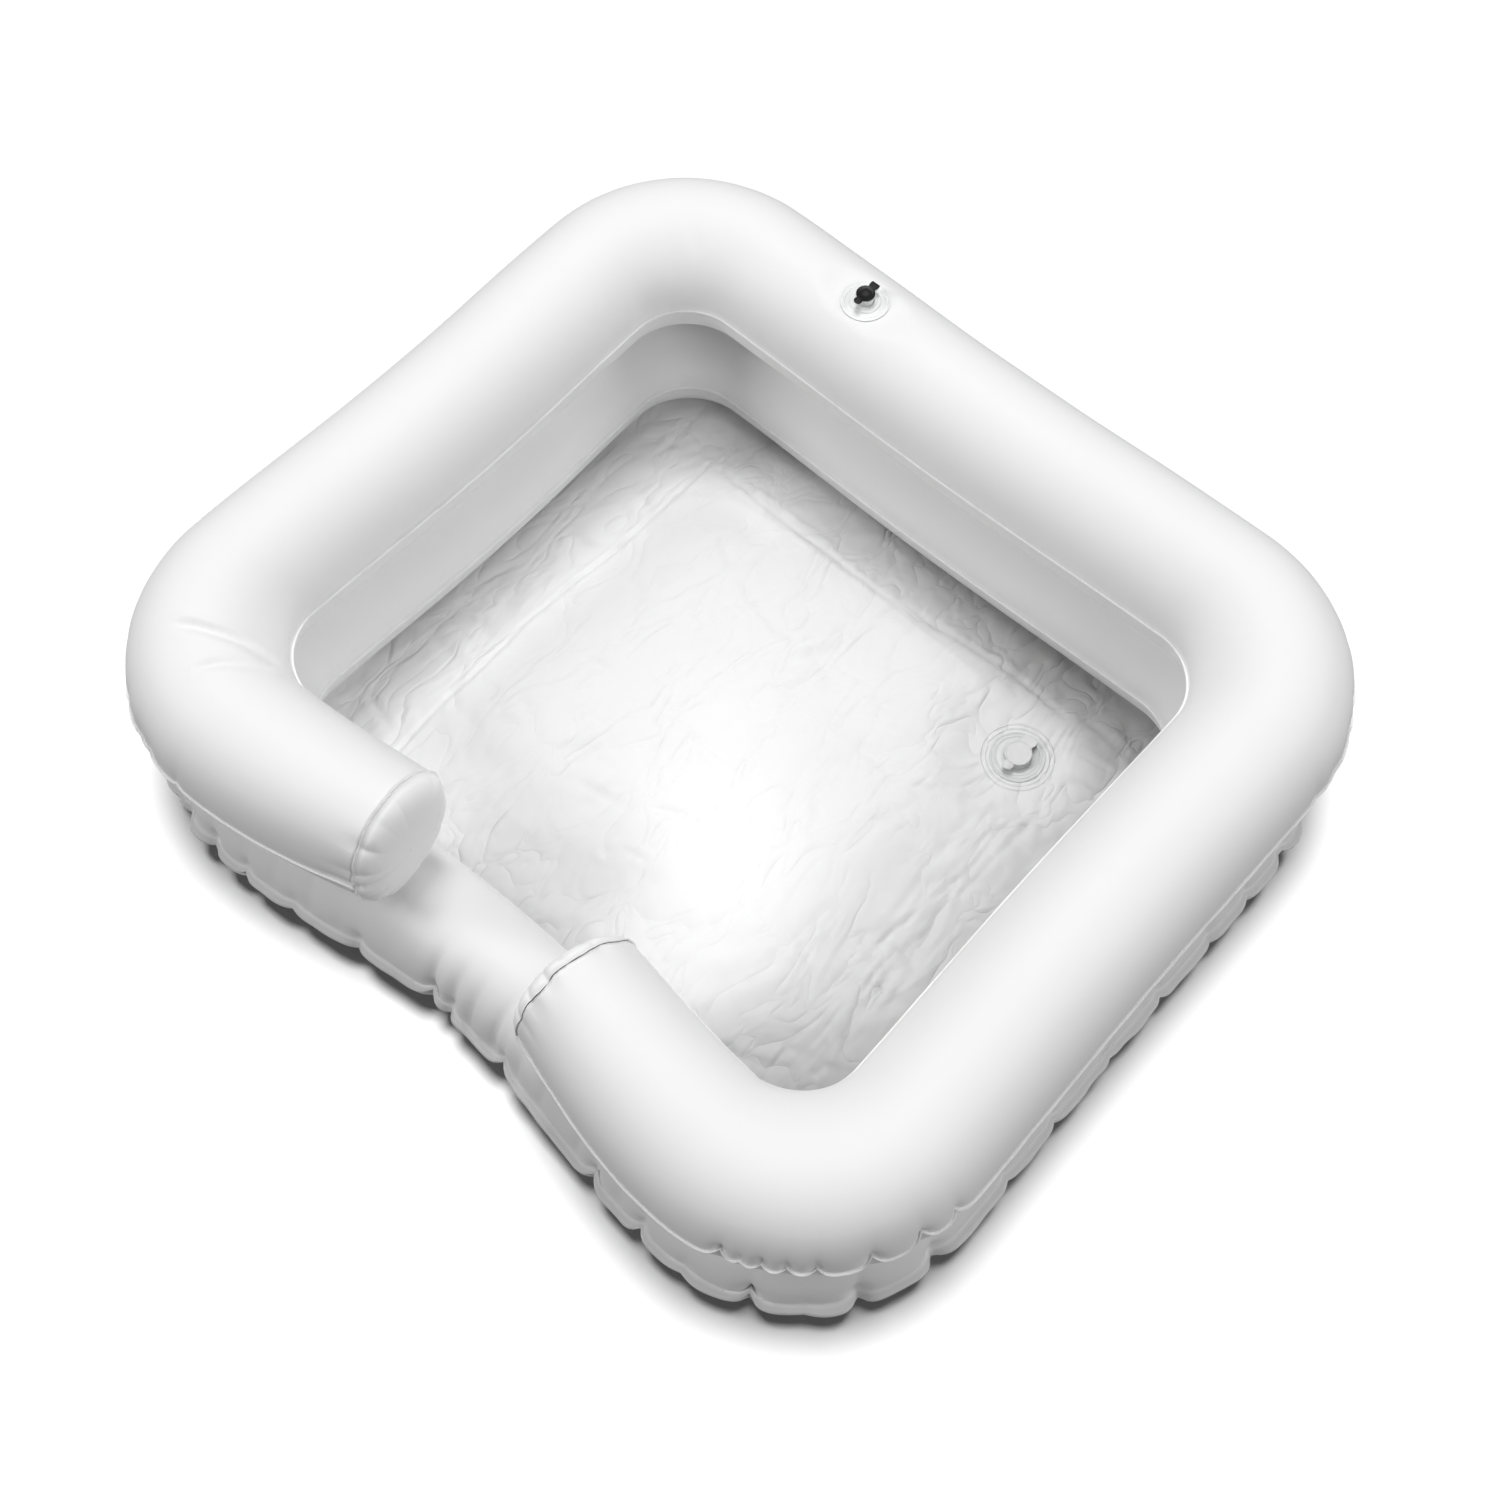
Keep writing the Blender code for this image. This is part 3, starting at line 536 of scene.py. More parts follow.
class Moulding:
    """A moulded fitting put together from closed shells in the frame of its seat."""

    def __init__(self) -> None:
        """Starts without a shell."""
        self.points: list[np.ndarray] = []
        self.cells: list[list[int]] = []
        self.count = 0

    def _add(self, points: np.ndarray, cells: list[list[int]]) -> None:
        """Adds one shell."""
        self.points.append(points)
        self.cells += [[corner + self.count for corner in cell] for cell in cells]
        self.count += len(points)

    def turned(self, profile: list[tuple[float, float]], steps: int = 72,
               centre: tuple[float, float] = (0.0, 0.0)) -> "Moulding":
        """Adds a ring or disc turned about Z.

        Args:
            profile: (radius, height) points that run up the outer side and back down the inner one;
                points with no radius close the shell on the axis.
            steps: Number of steps round the axis.
            centre: Place of the axis.

        Returns:
            The moulding itself.
        """
        turns = np.linspace(0, math.tau, steps, endpoint=False)
        ring = np.stack([np.cos(turns), np.sin(turns)], axis=1)
        points, starts = [], []
        count = 0
        for radius, height in profile:
            starts.append((count, radius > 0))
            spots = ring * radius if radius > 0 else np.zeros((1, 2))
            points.append(np.column_stack([spots + centre, np.full(len(spots), height)]))
            count += len(spots)
        cells = []
        loops = list(zip(starts, starts[1:] + starts[:1]))
        for (first, first_round), (second, second_round) in loops:
            for step in range(steps if first_round or second_round else 0):
                after = (step + 1) % steps
                if first_round and second_round:
                    cells.append([first + step, first + after, second + after, second + step])
                elif first_round:
                    cells.append([first + step, first + after, second])
                else:
                    cells.append([first, second + after, second + step])
        self._add(np.concatenate(points), cells)
        return self

    def strip(self, stations: list[tuple[float, float, float, float]]) -> "Moulding":
        """Adds a band along Y.

        Args:
            stations: Cross-sections as (y, half width, low, high).

        Returns:
            The moulding itself.
        """
        points, cells = [], []
        for y, half, low, high in stations:
            points += [(-half, y, low), (half, y, low), (half, y, high), (-half, y, high)]
        for index in range(len(stations) - 1):
            base = 4 * index
            for side in range(4):
                after = (side + 1) % 4
                cells.append([base + side, base + 4 + side, base + 4 + after, base + after])
        last = 4 * (len(stations) - 1)
        cells.append([0, 1, 2, 3])
        cells.append([last + 3, last + 2, last + 1, last])
        self._add(np.array(points), cells)
        return self

    def build(self, node: str, seat: Matrix, material: bpy.types.Material, body: str,
              slot: Slot, edge: float = 0.00018) -> bpy.types.Object:
        """Makes the object, with rounded edges.

        Args:
            node: CAD node that it stands for.
            seat: Frame of the fitting.
            material: Its material.
            body: Body that it rides.
            slot: Its material slot; not used.
            edge: Width of the rounded edges.

        Returns:
            The object.
        """
        matrix = np.array(seat)
        points = np.concatenate(self.points) @ matrix[:3, :3].T + matrix[:3, 3]
        item = make_object(node + "_form", points, self.cells, material)
        item.data.set_sharp_from_angle(angle=SHARP_EDGE)
        bevel = item.modifiers.new("edges", "BEVEL")
        bevel.width = edge
        bevel.segments = 2
        bevel.limit_method = "ANGLE"
        bevel.angle_limit = SHARP_EDGE
        settle(item, body, node)
        return item


def settle(item: bpy.types.Object, body: str, node: str) -> None:
    """Lets a piece ride a body and stand for its CAD node."""
    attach(item, body)
    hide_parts(node)
    LOG.info("made %s: %d faces on %s", item.name, len(item.data.polygons), body)


def seat_frame(centre: tuple[float, float, float], normal: tuple[float, float, float],
               strap: tuple[float, float, float]) -> Matrix:
    """Frame of a fitting.

    Args:
        centre: Middle of its seat.
        normal: Way out of the film, which is its +Z.
        strap: Way to its strap, which is its +Y.

    Returns:
        The frame.
    """
    up, way = Vector(normal).normalized(), Vector(strap).normalized()
    return axes_frame(way.cross(up), way, up, Vector(centre))


# ---------------------------------------------------------------- finishes


class Nodes:
    """Short way to add and link shader nodes."""

    def __init__(self, name: str) -> None:
        """Starts a material with its Principled shader."""
        self.material = bpy.data.materials.new(name)
        self.material.use_nodes = True
        self.tree = self.material.node_tree
        self.shader = self.tree.nodes["Principled BSDF"]
        self.place = self.add("ShaderNodeTexCoord").outputs["Object"]

    def add(self, kind: str, **inputs) -> bpy.types.Node:
        """Adds a node and fills its inputs with values or links."""
        node = self.tree.nodes.new(kind)
        for key, value in inputs.items():
            self.put(node.inputs[key.replace("_", " ")], value)
        return node

    def put(self, socket: bpy.types.NodeSocket, value: object) -> None:
        """Links a socket to another, or sets it."""
        if isinstance(value, bpy.types.NodeSocket):
            self.tree.links.new(value, socket)
        else:
            socket.default_value = value

    def dress(self, **inputs) -> None:
        """Fills inputs of the material's shader with values or links."""
        for key, value in inputs.items():
            self.put(self.shader.inputs[key.replace("_", " ")], value)

    def paint(self, red: object, green: object, blue: object) -> None:
        """Gives the shader a colour put together from three values."""
        colour = self.add("ShaderNodeCombineColor", Red=red, Green=green, Blue=blue)
        self.dress(Base_Color=colour.outputs["Color"])

    def attribute(self, name: str) -> bpy.types.NodeSocket:
        """Value of an attribute of the mesh."""
        node = self.tree.nodes.new("ShaderNodeAttribute")
        node.attribute_name = name
        return node.outputs["Fac"]

    def noise(self, scale: float, detail: float = 2.0) -> bpy.types.NodeSocket:
        """Noise between 0 and 1 with that many waves to a metre."""
        node = self.add("ShaderNodeTexNoise", Vector=self.place, Scale=scale, Detail=detail)
        return node.outputs["Fac"]

    def math(self, kind: str, first: object, second: object) -> bpy.types.NodeSocket:
        """Result of one sum."""
        node = self.tree.nodes.new("ShaderNodeMath")
        node.operation = kind
        self.put(node.inputs[0], first)
        self.put(node.inputs[1], second)
        return node.outputs[0]

    def span(self, value: object, low: float, high: float) -> bpy.types.NodeSocket:
        """Value from 0..1 to low..high."""
        node = self.add("ShaderNodeMapRange", Value=value, To_Min=low, To_Max=high)
        return node.outputs["Result"]

    def bump(self, height: object, distance: float, strength: float,
             normal: object = None) -> bpy.types.NodeSocket:
        """Normal with a height laid over it."""
        node = self.add("ShaderNodeBump", Height=height, Distance=distance, Strength=strength)
        if normal is not None:
            self.put(node.inputs["Normal"], normal)
        return node.outputs["Normal"]


@dataclass(frozen=True)
class FilmFinish:
    """Satin vinyl film: soft grain, faint waves, and pressed lines where it is welded."""

    name: str
    tone: float = 0.84
    roughness: float = 0.56
    grain: float = 0.00012
    wave: float = 0.0006
    drift: float = 0.012
    # Tones that paint light: welds lighter, partly for the pressed weld and partly as a painted
    # highlight; then painted highlight and painted shade from mesh attributes.
    weld_and_highlight_tone: float = 0.03
    painted_light_tone: float = 0.12
    painted_shade_tone: float = 0.24
    lightest: float = 0.96
    slack: bool = False
    rings: tuple[float, ...] = ()
    ring_centre: tuple[float, float, float] = (0.0, 0.0, 0.0)
    ring_half: float = 0.0009
    ring_height: float = 0.0007

    def build(self) -> bpy.types.Material:
        """Makes the material: the tone is lighter at welds, partly as a painted highlight, and
        takes painted highlight and painted shade from two attributes.
        """
        nodes = Nodes(self.name)
        weld = nodes.attribute("weld")
        tone = nodes.span(nodes.noise(9.0, 3.0), self.tone - self.drift, self.tone + self.drift)
        # Welds lighter, partly pressed weld and partly painted highlight; the edge attribute adds
        # painted highlight, or painted shade where it is negative.
        for value, more in ((weld, self.weld_and_highlight_tone), (nodes.attribute("edge"), self.painted_light_tone)):
            tone = nodes.math("ADD", tone, nodes.math("MULTIPLY", value, more))
        tone = nodes.math("MINIMUM", tone, self.lightest)
        # Painted shade taken off the tone.
        painted_shade = nodes.math("MULTIPLY", nodes.attribute("painted_shade"), self.painted_shade_tone)
        tone = nodes.math("SUBTRACT", tone, painted_shade)
        nodes.paint(tone, tone, tone)
        rough = nodes.span(nodes.noise(40.0, 4.0), self.roughness - 0.05, self.roughness + 0.07)
        rough = nodes.math("SUBTRACT", rough, nodes.math("MULTIPLY", weld, 0.10))
        normal = nodes.bump(nodes.noise(28.0, 2.0), self.wave, 0.35)
        if self.slack:
            normal = self._wrinkles(nodes, normal)
        if self.rings:
            normal = self._weld_rings(nodes, normal)
        normal = nodes.bump(nodes.noise(900.0, 2.0), self.grain, 0.25, normal)
        ribs = nodes.add("ShaderNodeTexWave", Vector=nodes.place, Scale=260.0, Distortion=1.5)
        pressed = nodes.math("MULTIPLY", ribs.outputs["Fac"], weld)
        nodes.dress(Roughness=rough, Normal=nodes.bump(pressed, 0.0002, 0.6, normal),
                    Specular_IOR_Level=0.30, Sheen_Weight=0.05)
        return nodes.material

    def _weld_rings(self, nodes: Nodes, normal: bpy.types.NodeSocket) -> bpy.types.NodeSocket:
        """Normal with thin raised rings round a fitting, at these radii from its centre."""
        gap = nodes.tree.nodes.new("ShaderNodeVectorMath")
        gap.operation = "DISTANCE"
        nodes.put(gap.inputs[0], nodes.place)
        nodes.put(gap.inputs[1], self.ring_centre)
        for radius in self.rings:
            off = nodes.math("SUBTRACT", gap.outputs["Value"], radius)
            off = nodes.math("DIVIDE", nodes.math("ABSOLUTE", off, 0.0), self.ring_half)
            bead = nodes.math("MAXIMUM", nodes.math("SUBTRACT", 1.0, off), 0.0)
            normal = nodes.bump(bead, self.ring_height, 0.8, normal)
        return normal

    @staticmethod
    def _wrinkles(nodes: Nodes, normal: bpy.types.NodeSocket) -> bpy.types.NodeSocket:
        """Normal with small wrinkles where the film is slack: ridged noise, longer one way."""
        turned = nodes.add("ShaderNodeMapping", Vector=nodes.place, Rotation=(0.0, 0.0, 0.6),
                           Scale=(1.0, 0.45, 1.0))
        noise = nodes.add("ShaderNodeTexNoise", Vector=turned.outputs["Vector"], Scale=38.0,
                          Detail=2.0, Distortion=0.6)
        folded = nodes.math("ABSOLUTE", nodes.math("SUBTRACT", noise.outputs["Fac"], 0.5), 0.0)
        ridges = nodes.math("POWER", folded, 0.7)
        height = nodes.math("MULTIPLY", ridges, nodes.attribute("slack"))
        return nodes.bump(height, 0.0062, 0.75, normal)


@dataclass(frozen=True)
class MouldedFinish:
    """Glossy moulded vinyl, clear or coloured, with flow marks and light scuffs."""

    name: str
    colour: tuple[float, float, float]
    roughness: float
    clear: float = 0.0
    scuffs: float = 0.10
    shine: float = 0.5

    def build(self) -> bpy.types.Material:
        """Makes the material."""
        nodes = Nodes(self.name)
        drift = nodes.noise(220.0, 3.0)
        shade = nodes.span(drift, 0.93, 1.05)
        nodes.paint(*[nodes.math("MULTIPLY", shade, part) for part in self.colour])
        rough = nodes.span(nodes.noise(700.0, 4.0), self.roughness, self.roughness + self.scuffs)
        flow = nodes.bump(drift, 0.0002, 0.3)
        nodes.dress(Roughness=rough, Normal=nodes.bump(nodes.noise(1800.0), 0.00004, 0.3, flow),
                    IOR=1.53, Transmission_Weight=self.clear, Specular_IOR_Level=self.shine)
        return nodes.material


@dataclass
class Finishes:
    """All materials of the basin."""

    film: bpy.types.Material = field(
        default_factory=FilmFinish("white_satin_film").build)
    # The floor's film is the rings' white film with a darker tone: painted shade over the pad.
    shaded_floor_film: bpy.types.Material = field(
        default_factory=FilmFinish("shaded_white_floor_film", tone=0.765, wave=0.0040, slack=True,
                                   rings=(0.0232, 0.0268),
                                   ring_centre=(0.159, 0.1245, 0.034)).build)
    clear: bpy.types.Material = field(default_factory=MouldedFinish(
        "clear_moulded_vinyl", (0.93, 0.94, 0.94), 0.20, clear=0.10).build)
    drain: bpy.types.Material = field(default_factory=MouldedFinish(
        "clear_drain_vinyl", (0.70, 0.71, 0.71), 0.30, clear=0.15).build)
    smoked: bpy.types.Material = field(default_factory=MouldedFinish(
        "smoked_moulded_vinyl", (0.004, 0.004, 0.0045), 0.34, shine=0.22).build)
    white: bpy.types.Material = field(default_factory=MouldedFinish(
        "white_moulded_vinyl", (0.66, 0.66, 0.66), 0.42).build)


# ---------------------------------------------------------------- inflated rings


@dataclass(frozen=True)
class TubeForm:
    """Section of a ring's tube: half width, heights above and below its seams, and its seams."""

    radius: float
    crest: float
    belly: float
    level: float
    flange: float
    shift: float
    inner_seam: float = 0.0016
    droop: float = 0.0
    valley: float = 0.22
    valley_reach: float = 2.6
    gathers_up: bool = False


class ArmEnd:
    """How the film is gathered round an arm's end: dents and a swaying edge round the section."""

    def __init__(self, crumple: float, sway: float, seed: int, worst: float) -> None:
        """Draws the dents and the sway, which is given as knots round the section.

        Args:
            crumple: Usual depth of a dent.
            sway: Most that the edge stands out.
            seed: Start of the random numbers.
            worst: Turn round the section where the film is gathered most.
        """
        random = np.random.default_rng(seed)
        count = 15
        places = np.linspace(0, math.tau, count, endpoint=False)
        places = places + random.uniform(-0.10, 0.10, count)
        gathered = 0.2 + np.maximum(np.cos(places - worst), 0) ** 2
        self.marks = Marks(places, crumple * random.uniform(0.4, 1.6, count) * gathered,
                           random.uniform(0.05, 0.12, count), random.uniform(0.008, 0.024, count))
        self.knots = random.uniform(-1.0, 1.0, 25) * sway
        self.knots[-1] = self.knots[0]

    def sway(self, turns: np.ndarray) -> np.ndarray:
        """How far the edge stands out along the arm at turns round the section."""
        return np.interp(turns % math.tau, np.linspace(0, math.tau, 25), self.knots)

    def dents(self, turns: np.ndarray, away: np.ndarray) -> np.ndarray:
        """Depth of the dents as [turn, distance from the edge]."""
        return self.marks.field(turns % math.tau, away, math.tau)


class Ring:
    """One inflated ring: a top and a bottom skin with wavy welded seams.

    The skins have the same seam in plan and the same waves in its height. Where the form doesn't
    gather upwards, each skin draws for itself whether a cusp swings up or down, so the two edges
    can stand apart there.
    """

    CUSP_WIDTH = 0.0038
    CUSP_REACH = 0.013
    SEAM_FADE = 0.011
    SWAY_FADE = 0.014
    WELD_WIDTH = 0.0016
    SWING = 0.7
    SWING_WIDTH = 1.2
    PINCHED = 0.004
    FLANGE_SHARES = np.array([0.25, 0.5, 0.75, 1.0])

    def __init__(self, name: str, path: RingPath, form: TubeForm, seed: int) -> None:
        """Keeps the sizes and an empty set of marks."""
        self.name = name
        self.path = path
        self.form = form
        self.random = np.random.default_rng(seed)
        self.cusps = self._marks([], 0, 0, 0)
        self.creases: tuple[Crease, ...] = ()
        self.ends: dict[int, ArmEnd] = {}
        self.folds: Marks | None = None
        self.columns = self._angles()

    @staticmethod
    def _angles() -> np.ndarray:
        """Angles up the section from the inner seam (pi) to the outer one (0)."""
        return np.concatenate([np.linspace(math.pi, 0.75, 25), np.linspace(0.75, 0.0, 19)[1:]])

    def _marks(self, places: np.ndarray | list[float], depth: float, width: float,
               reach: float) -> Marks:
        """Makes marks that differ somewhat from each other.

        Args:
            places: Positions along the path.
            depth: Usual depth.
            width: Usual width along the path.
            reach: Usual reach up the section.

        Returns:
            The marks.
        """
        places = np.asarray(places, dtype=float)
        vary = self.random.uniform(0.6, 1.35, (3, len(places)))
        return Marks(places, depth * vary[0], width * vary[1], reach * vary[2])

    def set_cusps(self, spots: tuple[tuple[float, float, float, float], ...], per_corner: int,
                  per_side: int) -> None:
        """Sets where the outer seam is gathered; the corner at +X, -Y has only the seen cusps.

        Args:
            spots: Seen cusps as x, y, depth and half width in millimetres.
            per_corner: Number of cusps round each other corner.
            per_side: Number of cusps along each side where none is seen.
        """
        table = np.array(spots)
        seen = self.path.locate(tuple(map(tuple, table[:, :2])), self.form.radius)
        extra = []
        corner = self.path.corner > 0
        starts = np.flatnonzero(corner & ~np.roll(corner, 1))
        ends = np.flatnonzero(corner & ~np.roll(corner, -1))
        for index, (start, end) in enumerate(zip(starts, ends)):
            if index == 0:
                continue
            reach = np.linspace(self.path.along[start], self.path.along[end], per_corner)
            extra.append(reach + self.random.uniform(-0.004, 0.004, per_corner))
            after = (index + 1) % 4
            if index in (1, 2) and per_side:
                side = np.linspace(self.path.along[end], self.path.along[starts[after]],
                                   per_side + 2)[1:-1]
                extra.append(side + self.random.uniform(-0.012, 0.012, per_side))
        more = self._marks(np.concatenate(extra), self.form.shift, self.CUSP_WIDTH,
                           self.CUSP_REACH)
        self.cusps = Marks(np.concatenate([seen, more.places]),
                           np.concatenate([table[:, 2] / 1000, more.depths]),
                           np.concatenate([table[:, 3] / 1000, more.widths]),
                           np.concatenate([0 * seen + self.CUSP_REACH, more.reaches]))

    def set_folds(self, folds: tuple[tuple[float, float, float, float, float], ...]) -> None:
        """Sets long folds up the tube.

        Args:
            folds: Folds as x, y, depth, width and reach in millimetres.
        """
        table = np.array(folds)
        places = self.path.locate(tuple(map(tuple, table[:, :2])), self.form.radius)
        depths, widths, reaches = (table[:, 2:] / 1000).T
        self.folds = Marks(places, depths, widths, reaches)

    def _seam(self) -> tuple[np.ndarray, np.ndarray, np.ndarray]:
        """Works out the outer seam: smooth waves in its height, and a swing at each cusp.

        Each call draws the ways of the swings again.

        Returns:
            How far it is drawn in, its height and its flange's width, along the path.
        """
        along, loop, cusps = self.path.along, self.path.length, self.cusps
        drawn = cusps.field(along, np.zeros(1), loop)[:, 0]
        spots = np.column_stack([self.path.places, 0 * along])
        height = 0.0007 * soft_noise(spots, 0.045, 5) + 0.0010 * soft_noise(spots, 0.018, 6)
        height = height * (0.35 + 0.65 * self.path.corner)
        lift = self.random.choice((-1.0, 1.0), len(cusps.places))
        lift = np.abs(lift) if self.form.gathers_up else lift
        swung = Marks(cusps.places, self.SWING * cusps.depths * lift,
                      self.SWING_WIDTH * cusps.widths, cusps.reaches)
        height = height + swung.field(along, np.zeros(1), loop)[:, 0]
        width = self.form.flange * (1 + 0.18 * soft_noise(spots, 0.03, 7))
        width = width * (1 - 0.6 * np.clip(drawn / self.PINCHED, 0, 1))
        return drawn, height, width

    def skin(self, side: Side) -> Skin:
        """Makes one skin.

        The section is half an ellipse. Dents run up from the outer seam, and the seam itself is
        drawn in and swung up or down; both fade up the section with the distance from the seam.

        Args:
            side: Which of the two sheets it is.

        Returns:
            The skin.
        """
        form, path = self.form, self.path
        sign = side.value
        angles = self.columns
        distance = form.radius * angles
        rise = form.crest if side is Side.TOP else form.belly
        offsets = path.fitted(form.radius * np.cos(angles))
        heights = np.maximum(rise * np.sin(angles), SEAM_HALF)[None, :] * np.ones_like(offsets)
        dents = 1.1 * self.cusps.field(path.along, distance, path.length)
        long = Marks(self.cusps.places, form.valley * self.cusps.depths,
                     self.cusps.widths * 1.8, self.cusps.reaches * form.valley_reach)
        dents = dents + long.field(path.along, distance, path.length)
        if self.folds is not None:
            dents = dents + self.folds.field(path.along, distance, path.length)
        shrink = 1 - dents * np.sin(np.minimum(angles * 6, math.pi / 2)) / form.radius
        offsets, heights = offsets * shrink, np.maximum(heights * shrink, SEAM_HALF)
        drawn, swing, width = self._seam()
        fade = bell(distance, self.SEAM_FADE)
        offsets = offsets - drawn[:, None] * fade
        lift = swing[:, None] * fade
        shares = self.FLANGE_SHARES
        flange = offsets[:, -1:] + width[:, None] * shares
        flange_lift = swing[:, None] - form.droop * shares ** 1.5
        flange_lift += 0.8 * swing[:, None] * shares ** 2
        inner = offsets[:, :1] - form.inner_seam * np.array([[1.0, 0.5]])
        seam = np.full_like(flange, SEAM_HALF)
        offsets = np.concatenate([inner, offsets, flange], axis=1)
        lifts = np.concatenate([0 * inner, lift, flange_lift], axis=1)
        heights = np.concatenate([0 * inner + SEAM_HALF, heights, seam], axis=1)
        points = path.carry(offsets, form.level + sign * heights + lifts)
        noise = soft_noise(points, 0.09, 11 + sign) * 0.00035
        body = np.concatenate([[0.0, 0.0], np.sin(angles) ** 0.5, np.zeros(4)])
        middle = path.carry(0 * offsets, np.full_like(offsets, form.level))
        points = middle + (points - middle) * (1 + noise * body / form.radius)[..., None]
        turns = np.concatenate([[math.pi] * 2, angles, [0.0] * 4]) * sign
        for end, gather in self.ends.items():
            away = np.abs(path.along - path.along[end])
            shrink = 1 - gather.dents(turns, away).T / form.radius
            points = middle + (points - middle) * shrink[..., None]
            outward = path.outwards[end]
            way = np.array([outward[1], -outward[0], 0.0]) * (1 if end == 0 else -1)
            fade = bell(away, self.SWAY_FADE)
            points = points + (fade[:, None] * gather.sway(turns))[..., None] * way
        if side is Side.TOP:
            for crease in self.creases:
                points[..., 2] -= crease.field(points[..., 0], points[..., 1]) * body
        skin = Skin(points, closed=not path.plan.gap)
        from_inner = (math.pi - angles) * form.radius
        weld = bell(distance, self.WELD_WIDTH) + bell(from_inner, self.WELD_WIDTH)
        skin.mark("weld", np.concatenate([[1.0, 1.0], weld, np.ones(4)]))
        # Painted light on the seams: painted highlight on the inner seam's lip and the upper
        # flange; painted shade on the lower flange, with a painted highlight at its rim.
        rim = [0.0, 0.3, 0.7, 1.0] if form.gathers_up else [-1.0, -1.5, -1.3, 0.9]
        skin.mark("edge", np.concatenate([[1.0, 0.8], 0 * angles, rim]))
        return skin


@dataclass(frozen=True)
class ArmCap:
    """Domed disc that closes an arm of the upper ring, puckered round its weld.

    It has the ring, the number of the arm's end station, and its own sizes.
    """

    ring: Ring
    end: int
    dome: float = 0.0138
    rim: float = 0.0014
    play: float = 0.0003
    clear: float = 0.0001
    weld_width: float = 0.0016
    highlight_width: float = 0.010

    def skin(self, contact: float) -> Skin:
        """Makes the disc: a shallow dome, dents round its edge and a flat welded rim.

        Args:
            contact: Height that the disc's lower edge stays above.

        Returns:
            The skin.
        """
        sense = -1.0 if self.end else 1.0
        path, form = self.ring.path, self.ring.form
        shares = np.concatenate([np.linspace(0.0, 0.75, 13), np.linspace(0.75, 1.0, 12)[1:]])
        radii = np.append(form.radius * shares, form.radius + self.rim * np.array([0.4, 1.0]))
        turns = np.linspace(0, math.tau, 220, endpoint=False)
        outer = 1 - path.plan.neck_outer_slim * path.neck[self.end]
        inner = 1 - path.plan.neck_inner_slim * path.neck[self.end]
        cos = np.cos(turns)
        across = np.outer(np.where(cos > 0, outer, inner) * cos, radii)
        up = np.outer(np.sin(turns), radii) * (form.crest / form.radius)
        level = form.level
        room = (level - contact - self.clear) / (form.crest + self.rim)
        up *= 1 - (1 - room) * np.maximum(-np.sin(turns), 0)[:, None] ** 6
        gather = self.ring.ends[self.end]
        from_rim = np.maximum(form.radius - radii, 0)
        near = (radii / form.radius) ** 6
        shrink = 1 - gather.dents(turns, np.zeros(1)) * near / form.radius
        across, up = across * shrink, up * shrink
        dents = gather.dents(turns, from_rim) * np.minimum(from_rim / 0.003, 1)
        dome = np.append(self.dome * (1 - shares ** 4) ** 0.5, [0.0, 0.0])
        proud = FILM + np.maximum(dome[None, :] - dents, 0) + gather.sway(turns)[:, None] * near
        outward = path.outwards[self.end]
        away = np.array([outward[1], -outward[0]]) * sense
        start = path.places[self.end] + away * self.play
        plan = start + across[..., None] * outward + proud[..., None] * away
        points = np.concatenate([plan, (level + up)[..., None]], axis=2)
        skin = Skin(points if sense > 0 else points[::-1], closed=True, even=False)
        skin.mark("weld", np.append(bell(from_rim[:-2], self.weld_width), [1.0, 1.0]))
        # Painted highlight round the disc's rim and on its welded rim.
        skin.mark("edge", np.append(0.8 * bell(from_rim[:-2], self.highlight_width), [0.8, 1.0]))
        return skin


# ---------------------------------------------------------------- inflated floor


